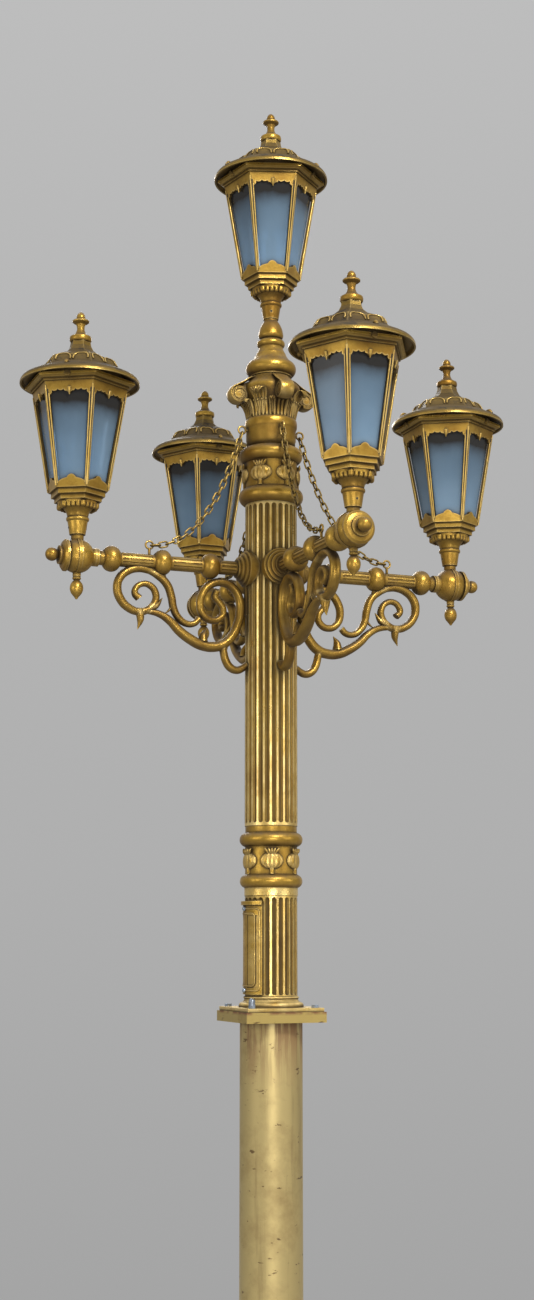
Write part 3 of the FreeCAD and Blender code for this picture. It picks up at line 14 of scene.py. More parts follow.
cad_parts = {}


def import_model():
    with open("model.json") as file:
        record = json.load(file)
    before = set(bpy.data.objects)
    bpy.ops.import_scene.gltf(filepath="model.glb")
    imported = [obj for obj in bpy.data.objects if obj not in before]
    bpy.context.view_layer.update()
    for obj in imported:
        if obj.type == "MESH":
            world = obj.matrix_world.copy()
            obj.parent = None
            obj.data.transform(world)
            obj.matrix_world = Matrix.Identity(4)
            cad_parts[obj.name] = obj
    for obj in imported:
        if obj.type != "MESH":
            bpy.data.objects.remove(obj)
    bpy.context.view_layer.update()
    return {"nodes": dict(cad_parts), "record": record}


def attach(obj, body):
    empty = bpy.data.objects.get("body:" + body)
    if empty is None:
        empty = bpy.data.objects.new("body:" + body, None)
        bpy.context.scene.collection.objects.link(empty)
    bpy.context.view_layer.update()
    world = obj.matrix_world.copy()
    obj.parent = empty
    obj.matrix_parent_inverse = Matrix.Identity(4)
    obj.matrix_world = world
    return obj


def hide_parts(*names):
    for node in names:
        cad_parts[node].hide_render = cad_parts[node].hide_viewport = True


LOG = logging.getLogger("street_light")
Colour = Tuple[float, float, float]
Point = Tuple[float, float, float]
Socket = bpy.types.NodeSocket
Number = Union[float, Socket]
Tint = Union[Colour, Socket]
Rows = Sequence[Sequence[float]]
Link = Tuple[str, str, str, Union[str, int]]

MM = 0.001
ARM_REACH = 0.505
ARM_HEIGHT = 2.278
LANTERN_LIFT = 0.052
SPIRE_TOP = 2.938
TOP_FACING = -108.5
LANTERN_SIDES = 6
MERGE_DISTANCE = 1e-6
FRAME_NAME = "standard"


class Arm(Enum):
    """The four arms and the heading of each in degrees."""

    LEFT = 180.0
    RIGHT = 0.0
    FRONT = -90.0
    REAR = 90.0

    @property
    def key(self) -> str:
        """Name used in node names."""
        return self.name.lower()


@dataclass(frozen=True)
class Station:
    """Where one lantern stands and which way it faces."""

    key: str
    spot: Point
    facing: float

    @property
    def placing(self) -> Matrix:
        """Matrix from lantern space, with its socket at the origin, to the shared frame."""
        return Matrix.Translation(Vector(self.spot)) @ Matrix.Rotation(math.radians(self.facing), 4, "Z")


def lantern_stations() -> List[Station]:
    """All five lanterns.

    Returns:
        One station for each lantern, arms first.
    """
    lift = ARM_HEIGHT + LANTERN_LIFT
    facing = {Arm.LEFT: 180.0, Arm.RIGHT: 0.0, Arm.FRONT: 90.0, Arm.REAR: 90.0}
    found = []
    for arm in Arm:
        angle = math.radians(arm.value)
        spot = (ARM_REACH * math.cos(angle), ARM_REACH * math.sin(angle), lift)
        found.append(Station(arm.key, spot, facing[arm]))
    found.append(Station("top", (0.0, 0.0, SPIRE_TOP), TOP_FACING))
    return found


@dataclass(frozen=True)
class Pattern:
    """A noise pattern: its scale, the range of it that shows, its detail, roughness and stretch."""

    scale: float
    low: float
    high: float
    detail: float = 4.0
    rough: float = 0.55
    stretch: Tuple[float, ...] = ()


class NodeMaker:
    """Small helper that adds and links shader nodes of one material."""

    RECESS_SAMPLES = 8
    EDGE_RANGE = (0.55, 0.95)

    def __init__(self, name: str) -> None:
        """Starts a material.

        Args:
            name: name of the material.
        """
        self.material = bpy.data.materials.new(name)
        self.material.use_nodes = True
        self.tree = self.material.node_tree
        self.tree.nodes.clear()
        self.output = self.add("ShaderNodeOutputMaterial")
        self.coords = self.add("ShaderNodeTexCoord").outputs["Object"]

    def add(self, kind: str, **values: object) -> bpy.types.Node:
        """Adds a node and sets its properties.

        Args:
            kind: node type name.
            **values: properties of the node.

        Returns:
            The new node.
        """
        node = self.tree.nodes.new(kind)
        for key, value in values.items():
            setattr(node, key, value)
        return node

    def link(self, source: Socket, target: Socket) -> None:
        """Links two sockets."""
        self.tree.links.new(source, target)

    def feed(self, target: Socket, value: Union[Number, Tint]) -> None:
        """Gives a socket what it shows.

        Args:
            target: the socket.
            value: another socket, a number or a colour.
        """
        if isinstance(value, bpy.types.NodeSocket):
            self.link(value, target)
        else:
            target.default_value = (*value, 1.0) if isinstance(value, tuple) else value

    def noise(
        self, scale: float, detail: float = 4.0, rough: float = 0.55, stretch: Tuple[float, ...] = ()
    ) -> Socket:
        """A noise value on object coordinates.

        Args:
            scale: how many features to a metre.
            detail: how many finer layers.
            rough: how strong the finer layers are.
            stretch: scale along each axis, where it isn't even.

        Returns:
            The value.
        """
        vector = self.coords
        if stretch:
            mapping = self.add("ShaderNodeMapping")
            mapping.inputs["Scale"].default_value = stretch
            self.link(self.coords, mapping.inputs["Vector"])
            vector = mapping.outputs["Vector"]
        node = self.add("ShaderNodeTexNoise")
        for name, value in (("Scale", scale), ("Detail", detail), ("Roughness", rough), ("Vector", vector)):
            self.feed(node.inputs[name], value)
        return node.outputs["Fac"]

    def ramp(self, source: Socket, low: float, high: float, flip: bool = False) -> Socket:
        """A clamped straight ramp of a value.

        Args:
            source: the value.
            low: where the ramp is 0.
            high: where it is 1.
            flip: whether it falls from 1 to 0 instead.

        Returns:
            The ramp.
        """
        start, end = (1.0, 0.0) if flip else (0.0, 1.0)
        node = self.add("ShaderNodeMapRange", clamp=True)
        ranges = (("From Min", low), ("From Max", high), ("To Min", start), ("To Max", end), ("Value", source))
        for name, value in ranges:
            self.feed(node.inputs[name], value)
        return node.outputs["Result"]

    def pattern(self, look: Pattern) -> Socket:
        """A noise pattern cut to its range."""
        return self.ramp(self.noise(look.scale, look.detail, look.rough, look.stretch), look.low, look.high)

    def math(self, operation: str, first: Number, second: Number) -> Socket:
        """A math node.

        Args:
            operation: name of the operation.
            first: a socket or a number.
            second: a socket or a number.

        Returns:
            The result.
        """
        node = self.add("ShaderNodeMath", operation=operation)
        for index, value in enumerate((first, second)):
            self.feed(node.inputs[index], value)
        return node.outputs["Value"]

    def plus(self, first: Number, second: Number) -> Socket:
        """The sum of two values."""
        return self.math("ADD", first, second)

    def times(self, first: Number, second: Number) -> Socket:
        """The product of two values."""
        return self.math("MULTIPLY", first, second)

    def most(self, first: Number, second: Number) -> Socket:
        """The larger of two values."""
        return self.math("MAXIMUM", first, second)

    def remainder(self, value: Number) -> Socket:
        """What a value leaves of 1."""
        return self.math("SUBTRACT", 1.0, value)

    def mix(self, factor: Number, first: Tint, second: Tint) -> Socket:
        """Mixes two colours.

        Args:
            factor: share of the second colour.
            first: a socket or a plain colour.
            second: a socket or a plain colour.

        Returns:
            The mixed colour.
        """
        node = self.add("ShaderNodeMix", data_type="RGBA")
        self.feed(node.inputs["Factor"], factor)
        for name, value in (("A", first), ("B", second)):
            self.feed(next(entry for entry in node.inputs if entry.name == name and entry.type == "RGBA"), value)
        return next(result for result in node.outputs if result.type == "RGBA")

    def split(self, vector: Socket) -> bpy.types.Node:
        """A node that parts a vector.

        Args:
            vector: the vector.

        Returns:
            The node, with outputs X, Y and Z.
        """
        node = self.add("ShaderNodeSeparateXYZ")
        self.link(vector, node.inputs["Vector"])
        return node

    def height(self) -> Socket:
        """Height above the ground."""
        return self.split(self.coords).outputs["Z"]

    def upward(self) -> Socket:
        """How far a face looks up, from -1 to 1."""
        return self.split(self.add("ShaderNodeNewGeometry").outputs["Normal"]).outputs["Z"]

    def hollow(self, reach: float, inside: bool = False) -> Socket:
        """How open a spot is: 1 in the open, 0 deep in a recess.

        Args:
            reach: how far it looks, in metres.
            inside: whether it looks into the body instead of out of it.

        Returns:
            The value.
        """
        node = self.add("ShaderNodeAmbientOcclusion", samples=self.RECESS_SAMPLES, inside=inside)
        node.inputs["Distance"].default_value = reach
        return node.outputs["AO"]

    def edge(self, reach: float) -> Socket:
        """How sharp an outer edge is near a spot: 1 on the edge, 0 on a flat."""
        return self.ramp(self.hollow(reach, inside=True), *self.EDGE_RANGE, flip=True)

    def reach(self) -> Socket:
        """Distance from the upright axis.

        Returns:
            The distance in metres.
        """
        node = self.split(self.coords)
        squares = [self.times(node.outputs[name], node.outputs[name]) for name in ("X", "Y")]
        return self.math("SQRT", self.plus(*squares), 0.0)

    def bump(self, source: Socket, strength: float, depth: float) -> Socket:
        """A bump from a height value.

        Args:
            source: the height value.
            strength: share of the bump that shows.
            depth: its depth in metres.

        Returns:
            The normal.
        """
        node = self.add("ShaderNodeBump")
        for name, value in (("Strength", strength), ("Distance", depth), ("Height", source)):
            self.feed(node.inputs[name], value)
        return node.outputs["Normal"]

    def surface(self, **inputs: object) -> bpy.types.Material:
        """Ends with a principled surface.

        Args:
            **inputs: socket names with spaces as underscores; sockets, numbers or colours.

        Returns:
            The finished material.
        """
        shader = self.add("ShaderNodeBsdfPrincipled")
        for key, value in inputs.items():
            self.feed(shader.inputs[key.replace("_", " ")], value)
        self.link(shader.outputs["BSDF"], self.output.inputs["Surface"])
        return self.material


@dataclass(frozen=True)
class GoldPaint:
    """Metallic gold paint on a casting, dusty on top, with painted shade and some grime in its hollows and on
    its undersides, and painted highlight on its edges.
    """

    name: str
    bright: Colour = (0.60, 0.370, 0.066)
    worn: Colour = (0.29, 0.150, 0.022)
    # This colour darkens both the streaks of grime and, as painted shade, the hollows, grooves, undersides and
    # flute floors.
    grime_and_shade: Colour = (0.022, 0.012, 0.005)
    dust: Colour = (0.120, 0.086, 0.052)
    # Painted highlight with rubbed wear: this lighter colour is laid on convex edges and flute crests.
    rubbed_highlight: Colour = (0.90, 0.65, 0.24)
    mottle_amount: float = 0.5
    streak_amount: float = 0.16
    speck_amount: float = 0.5
    dust_amount: float = 0.88
    dust_from: float = 0.15
    dust_rise: float = 0.50
    dust_floor: float = 0.0
    # Reaches and strengths of the painted shade in hollows, grooves and on undersides.
    hollow_reach: float = 0.034
    groove_reach: float = 0.007
    under_amount: float = 0.78
    grime_and_shade_amount: float = 0.90
    # Reach of the painted highlight on convex edges.
    edge_reach: float = 0.004
    rubbed_highlight_amount: float = 0.65
    flute_top: float = 0.0
    metal: float = 0.90
    rough: float = 0.26
    patch_rough: float = 0.12
    dull_rough: float = 0.30
    coarse_grain: float = 1.5
    grain_strength: float = 0.28
    grain_depth: float = 0.0014

    PATCHES = Pattern(9.0, 0.40, 0.68, 5.0)
    MOTTLE = Pattern(48.0, 0.44, 0.62, 6.0, 0.65)
    STREAKS = Pattern(1.0, 0.56, 0.74, 5.0, 0.6, (60.0, 60.0, 4.0))
    SPECKS = Pattern(160.0, 0.62, 0.72, 3.0, 0.6)
    BREAKUP = Pattern(28.0, 0.25, 0.60, 5.0, 0.65)
    HOLLOW_RANGE = (0.64, 1.0)
    GROOVE_RANGE = (0.70, 1.0)
    UNDER_RANGE = (-0.80, 0.0)
    # Depths below the flute crests where the painted shade of the floors and the painted highlight of the crests
    # begin and end.
    FLUTE_FLOOR = (0.0046, 0.0020)
    FLUTE_CREST = (0.0020, 0.0006)

    def relief(self, maker: NodeMaker) -> Tuple[Socket, Socket]:
        """Where painted shade, with some grime, darkens the paint and where painted highlight, with rubbed wear,
        lightens it.

        Args:
            maker: the material's nodes.

        Returns:
            The share of painted shade with grime, and the share of painted highlight with rubbed wear.
        """
        # Painted shade: spots closed in within a wide and a narrow reach are darkened.
        hollow = maker.ramp(maker.hollow(self.hollow_reach), *self.HOLLOW_RANGE, flip=True)
        groove = maker.ramp(maker.hollow(self.groove_reach), *self.GROOVE_RANGE, flip=True)
        # Painted shade: faces that look down are darkened.
        under = maker.ramp(maker.upward(), *self.UNDER_RANGE, flip=True)
        deep = maker.most(maker.most(hollow, groove), maker.times(under, self.under_amount))
        # Painted highlight: convex edges, found by looking into the body, are lightened.
        edges = maker.edge(self.edge_reach)
        # On fluted pieces: painted shade in the flute floors and painted highlight along the crests.
        if self.flute_top > 0.0:
            reach = maker.reach()
            floor = [self.flute_top - drop for drop in self.FLUTE_FLOOR]
            crest = [self.flute_top - drop for drop in self.FLUTE_CREST]
            deep = maker.most(deep, maker.ramp(reach, *floor, flip=True))
            edges = maker.most(edges, maker.ramp(reach, *crest))
        return deep, edges

    def build(self) -> bpy.types.Material:
        """Makes the material.

        Returns:
            The paint.
        """
        maker = NodeMaker(self.name)
        patches = maker.pattern(self.PATCHES)
        patches = maker.most(patches, maker.times(maker.pattern(self.MOTTLE), self.mottle_amount))
        colour = maker.mix(patches, self.bright, self.worn)
        streaks = maker.times(maker.pattern(self.STREAKS), self.streak_amount)
        colour = maker.mix(streaks, colour, self.grime_and_shade)
        specks = maker.times(maker.pattern(self.SPECKS), self.speck_amount)
        colour = maker.mix(specks, colour, self.worn)
        up = maker.ramp(maker.upward(), self.dust_from, self.dust_from + self.dust_rise)
        breakup = maker.pattern(self.BREAKUP)
        cover = maker.most(breakup, self.dust_floor)
        dusty = maker.times(maker.times(up, cover), self.dust_amount)
        colour = maker.mix(dusty, colour, self.dust)
        deep, edges = self.relief(maker)
        edges = maker.times(edges, maker.times(breakup, self.rubbed_highlight_amount))
        # Painted highlight, with rubbed wear, on convex edges and flute crests.
        colour = maker.mix(edges, colour, self.rubbed_highlight)
        # Painted shade, with some grime, in hollows, grooves, undersides and flute floors.
        colour = maker.mix(maker.times(deep, self.grime_and_shade_amount), colour, self.grime_and_shade)
        dull = maker.most(dusty, deep)
        even = maker.plus(maker.times(patches, self.patch_rough), self.rough)
        rough = maker.plus(maker.times(dull, self.dull_rough), even)
        metal = maker.times(maker.remainder(dull), self.metal)
        grain = maker.plus(maker.noise(420.0, 3.0, 0.6), maker.times(maker.noise(60.0), self.coarse_grain))
        normal = maker.bump(grain, self.grain_strength, self.grain_depth)
        return maker.surface(
            Base_Color=colour, Metallic=metal, Roughness=rough, Specular_IOR_Level=0.2, Normal=normal
        )


@dataclass(frozen=True)
class PostPaint:
    """Paler gold paint on a steel pipe with scratches, runs and rust at the plates, and painted shade in its
    hollows.
    """

    name: str
    bright: Colour = (0.52, 0.405, 0.175)
    stain: Colour = (0.20, 0.125, 0.050)
    scratch: Colour = (0.115, 0.062, 0.026)
    rust: Colour = (0.16, 0.060, 0.020)
    # This colour is painted shade, with some grime, in the post's hollows.
    grime_and_shade: Colour = (0.045, 0.028, 0.014)
    blotch_amount: float = 0.55
    runs_amount: float = 0.34
    scratch_amount: float = 0.85
    rust_amount: float = 0.85
    rust_from: float = 1.00
    rust_rise: float = 0.16
    joint_high: float = 1.1905
    hollow_reach: float = 0.03
    grime_and_shade_amount: float = 0.8
    metal: float = 0.70
    rough: float = 0.46
    stain_rough: float = 0.26
    coarse_grain: float = 2.0
    grain_strength: float = 0.16
    grain_depth: float = 0.0015

    BLOTCHES = Pattern(7.0, 0.50, 0.72, 6.0, 0.62)
    RUNS = Pattern(1.0, 0.57, 0.70, 6.0, 0.62, (34.0, 34.0, 2.2))
    SCRATCHES = Pattern(1.0, 0.645, 0.685, 4.0, 0.6, (26.0, 26.0, 62.0))
    RUST_RUNS = Pattern(1.0, 0.40, 0.56, 5.0, 0.6, (64.0, 64.0, 5.0))
    SEAM_SPOTS = Pattern(26.0, 0.40, 0.58, 5.0, 0.6)
    SEAM_RANGE = (0.008, 0.001)
    HOLLOW_RANGE = (0.25, 0.85)

    def build(self) -> bpy.types.Material:
        """Makes the material.

        Returns:
            The paint.
        """
        maker = NodeMaker(self.name)
        blotch = maker.pattern(self.BLOTCHES)
        colour = maker.mix(maker.times(blotch, self.blotch_amount), self.bright, self.stain)
        runs = maker.times(maker.pattern(self.RUNS), self.runs_amount)
        colour = maker.mix(runs, colour, self.stain)
        scratches = maker.times(maker.pattern(self.SCRATCHES), self.scratch_amount)
        colour = maker.mix(scratches, colour, self.scratch)
        height = maker.height()
        near = maker.ramp(height, self.rust_from, self.rust_from + self.rust_rise)
        near = maker.times(near, maker.pattern(self.RUST_RUNS))
        seam = maker.ramp(height, *(self.joint_high - drop for drop in self.SEAM_RANGE))
        seam = maker.times(seam, maker.pattern(self.SEAM_SPOTS))
        rusty = maker.most(maker.times(near, self.rust_amount), seam)
        colour = maker.mix(rusty, colour, self.rust)
        # Painted shade with grime: spots closed in within the reach are darkened.
        deep = maker.ramp(maker.hollow(self.hollow_reach), *self.HOLLOW_RANGE, flip=True)
        colour = maker.mix(maker.times(deep, self.grime_and_shade_amount), colour, self.grime_and_shade)
        rough = maker.plus(self.rough, maker.times(maker.most(rusty, blotch), self.stain_rough))
        metal = maker.times(maker.remainder(maker.most(rusty, deep)), self.metal)
        grain = maker.plus(maker.noise(300.0, 3.0, 0.6), maker.times(maker.noise(24.0), self.coarse_grain))
        normal = maker.bump(grain, self.grain_strength, self.grain_depth)
        return maker.surface(Base_Color=colour, Metallic=metal, Roughness=rough, Normal=normal)


@dataclass(frozen=True)
class FrostedPane:
    """Blue-grey frosted pane, clear below, with painted shade darkening it towards the top, to near black under
    the roof and along its frame.
    """

    name: str
    foot: float
    clear: Colour = (0.34, 0.52, 0.71)
    veil: Colour = (0.20, 0.34, 0.51)
    # Painted shade: the pane turns darker blue towards the top and near black under the roof and along its
    # frame.
    dusk: Colour = (0.12, 0.185, 0.26)
    shade: Colour = (0.022, 0.021, 0.020)
    dirt: Colour = (0.16, 0.13, 0.085)
    wave: float = 0.03
    veil_amount: float = 0.60
    dusk_amount: float = 0.65
    dirt_amount: float = 0.7
    rim_reach: float = 0.030
    rim_amount: float = 0.75
    shade_stop: float = 0.8
    dirt_stop: float = 0.6
    through: float = 0.55
    rough: float = 0.13
    cloud_rough: float = 0.10

    VEIL = Pattern(6.0, 0.35, 0.65, 3.0, 0.5)
    SHADE_RANGE = (0.278, 0.325)
    DUSK_RANGE = (0.17, 0.30)
    DIRT_RANGE = (0.125, 0.165)
    RIM_RANGE = (0.45, 1.0)

    def build(self) -> bpy.types.Material:
        """Makes the material.

        Returns:
            The glass.
        """
        maker = NodeMaker(self.name)
        height = maker.height()
        cloud = maker.noise(14.0, 5.0, 0.6)
        wavy = maker.plus(height, maker.times(cloud, self.wave))
        dark = maker.ramp(wavy, *(self.foot + rise for rise in self.SHADE_RANGE))
        colour = maker.mix(maker.times(maker.pattern(self.VEIL), self.veil_amount), self.clear, self.veil)
        # Painted shade: darker blue towards the top.
        fade = maker.ramp(wavy, *(self.foot + rise for rise in self.DUSK_RANGE))
        colour = maker.mix(maker.times(fade, self.dusk_amount), colour, self.dusk)
        # Painted shade of the roof: near black at the top of the pane.
        colour = maker.mix(dark, colour, self.shade)
        low = maker.ramp(wavy, *(self.foot + rise for rise in self.DIRT_RANGE), flip=True)
        colour = maker.mix(maker.times(low, self.dirt_amount), colour, self.dirt)
        stopped = maker.most(maker.times(dark, self.shade_stop), maker.times(low, self.dirt_stop))
        through = maker.times(maker.remainder(stopped), self.through)
        # Painted shadow of the frame along the pane's edges.
        rim = maker.ramp(maker.hollow(self.rim_reach), *self.RIM_RANGE, flip=True)
        colour = maker.mix(maker.times(rim, self.rim_amount), colour, self.shade)
        rough = maker.plus(self.rough, maker.times(cloud, self.cloud_rough))
        normal = maker.bump(maker.noise(240.0), 0.05, 0.0006)
        return maker.surface(
            Base_Color=colour, Roughness=rough, Transmission_Weight=through, IOR=1.45,
            Specular_IOR_Level=0.28, Normal=normal,
        )


@dataclass(frozen=True)
class PlainFinish:
    """Small parts: one colour with fine variation."""

    name: str
    colour: Colour
    second: Colour
    rough: float
    metal: float
    scale: float = 60.0
    spread_rough: float = 0.12

    SPREAD_RANGE = (0.38, 0.66)

    def build(self) -> bpy.types.Material:
        """Makes the material.

        Returns:
            The finish.
        """
        maker = NodeMaker(self.name)
        spread = maker.noise(self.scale, 5.0, 0.6)
        colour = maker.mix(maker.ramp(spread, *self.SPREAD_RANGE), self.colour, self.second)
        rough = maker.plus(self.rough, maker.times(spread, self.spread_rough))
        normal = maker.bump(spread, 0.10, 0.0008)
        return maker.surface(Base_Color=colour, Metallic=self.metal, Roughness=rough, Normal=normal)


class Finishes:
    """All finishes, made once and handed out by record slot."""

    def __init__(self) -> None:
        """Makes every finish."""
        self.gold = GoldPaint("gold_paint").build()
        self.edge = GoldPaint("edge_paint", dust_amount=0.30).build()
        # A lighter, less dusty copy of the gold: painted highlight along the lantern beads.
        self.bead = GoldPaint(
            "bead_paint", bright=(0.74, 0.47, 0.085), worn=(0.44, 0.25, 0.040), dust_amount=0.30,
            hollow_reach=0.006,
        ).build()
        self.scroll = GoldPaint(
            "scroll_paint", bright=(0.48, 0.295, 0.056), worn=(0.20, 0.105, 0.018), rubbed_highlight_amount=0.5
        ).build()
        # The fluted shaft and base: a lighter gold, with painted shade in the flute floors and painted highlight
        # along the crests.
        self.fluted = GoldPaint(
            "fluted_paint", bright=(0.78, 0.495, 0.095), worn=(0.44, 0.245, 0.040), rubbed_highlight=(0.98, 0.73, 0.29),
            rubbed_highlight_amount=1.0, flute_top=0.065,
        ).build()
        self.roof = GoldPaint(
            "roof_paint", bright=(0.46, 0.295, 0.060), worn=(0.25, 0.155, 0.035), dust=(0.044, 0.035, 0.026),
            dust_amount=0.98, dust_from=0.02, dust_floor=0.82,
        ).build()
        self.chain = GoldPaint(
            "chain_paint", bright=(0.42, 0.28, 0.065), worn=(0.24, 0.15, 0.035), hollow_reach=0.010,
            rubbed_highlight_amount=0.2,
        ).build()
        self.post = PostPaint("post_paint").build()
        self.plate = PostPaint(
            "plate_paint", bright=(0.47, 0.345, 0.110), runs_amount=0.08, rust_from=1.5
        ).build()
        self.pane_low = FrostedPane("pane_of_arms", ARM_HEIGHT + LANTERN_LIFT).build()
        self.pane_high = FrostedPane("pane_of_top", SPIRE_TOP).build()
        # Painted shade: near-black lines between the lantern beads and dots at the set screws.
        self.groove = PlainFinish(
            "groove_shade", (0.030, 0.018, 0.006), (0.016, 0.010, 0.004), rough=0.60, metal=0.0
        ).build()
        self.steel = PlainFinish(
            "bolt_steel", (0.34, 0.40, 0.48), (0.20, 0.22, 0.25), rough=0.30, metal=0.85
        ).build()
        self.lamp = PlainFinish(
            "lamp_glass", (0.80, 0.80, 0.78), (0.70, 0.70, 0.68), rough=0.25, metal=0.0
        ).build()
        self.holder = PlainFinish(
            "holder_ceramic", (0.50, 0.36, 0.20), (0.36, 0.26, 0.15), rough=0.50, metal=0.0
        ).build()
        self.plastic = PlainFinish(
            "terminal_plastic", (0.03, 0.03, 0.033), (0.05, 0.05, 0.05), rough=0.55, metal=0.0
        ).build()

    def for_node(self, node: str, slot: str) -> bpy.types.Material:
        """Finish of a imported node.

        Args:
            node: node name.
            slot: its material slot in the record.

        Returns:
            The material to show.
        """
        special = {"top_plate": self.plate, "main_shaft": self.fluted, "column_base": self.fluted}
        if node in special:
            return special[node]
        if slot == "pane_glass":
            return self.pane_high if node.endswith("_top") else self.pane_low
        return {
            "gold_paint": self.gold,
            "roof_paint": self.roof,
            "post_paint": self.post,
            "chain_paint": self.chain,
            "bolt_steel": self.steel,
            "lamp_glass": self.lamp,
            "holder_ceramic": self.holder,
            "terminal_plastic": self.plastic,
        }[slot]


def dress_nodes(frame: Dict[str, object], finishes: Finishes) -> None:
    """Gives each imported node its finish.

    Args:
        frame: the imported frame, as it was loaded.
        finishes: all finishes.
    """
    slots = {row["node"]: row["material_slot"] for row in frame["record"]["subparts"]}
    for node, obj in frame["nodes"].items():
        material = finishes.for_node(node, slots[node])
        obj.data.materials.clear()
        obj.data.materials.append(material)


def add_nodes(tree: bpy.types.NodeTree, kinds: Dict[str, str]) -> Dict[str, bpy.types.Node]:
    """Adds nodes to a tree, each under a name."""
    return {name: tree.nodes.new(kind) for name, kind in kinds.items()}


def wire(tree: bpy.types.NodeTree, nodes: Dict[str, bpy.types.Node], links: Sequence[Link]) -> None:
    """Links named nodes of a tree.

    Args:
        tree: the tree.
        nodes: its nodes by name.
        links: for each link the source and its output, then the target and its input.
    """
    for source, leaving, target, entering in links:
        tree.links.new(nodes[source].outputs[leaving], nodes[target].inputs[entering])


@dataclass(frozen=True)
class Path:
    """Points of a bar and its half thickness at each."""

    points: Tuple[Point, ...]
    halves: Tuple[float, ...]


def path_of(points: Sequence[Point], halves: Sequence[float]) -> Path:
    """A path in metres from millimetres, with its thickness spread evenly over the points.

    Args:
        points: places in millimetres.
        halves: half thickness in millimetres at even steps along the path.

    Returns:
        The path.
    """
    spread = []
    for index in range(len(points)):
        spot = index / max(len(points) - 1, 1) * (len(halves) - 1)
        low = min(int(spot), len(halves) - 1)
        high = min(low + 1, len(halves) - 1)
        spread.append((halves[low] + (halves[high] - halves[low]) * (spot - low)) * MM)
    return Path(tuple(tuple(value * MM for value in point) for point in points), tuple(spread))


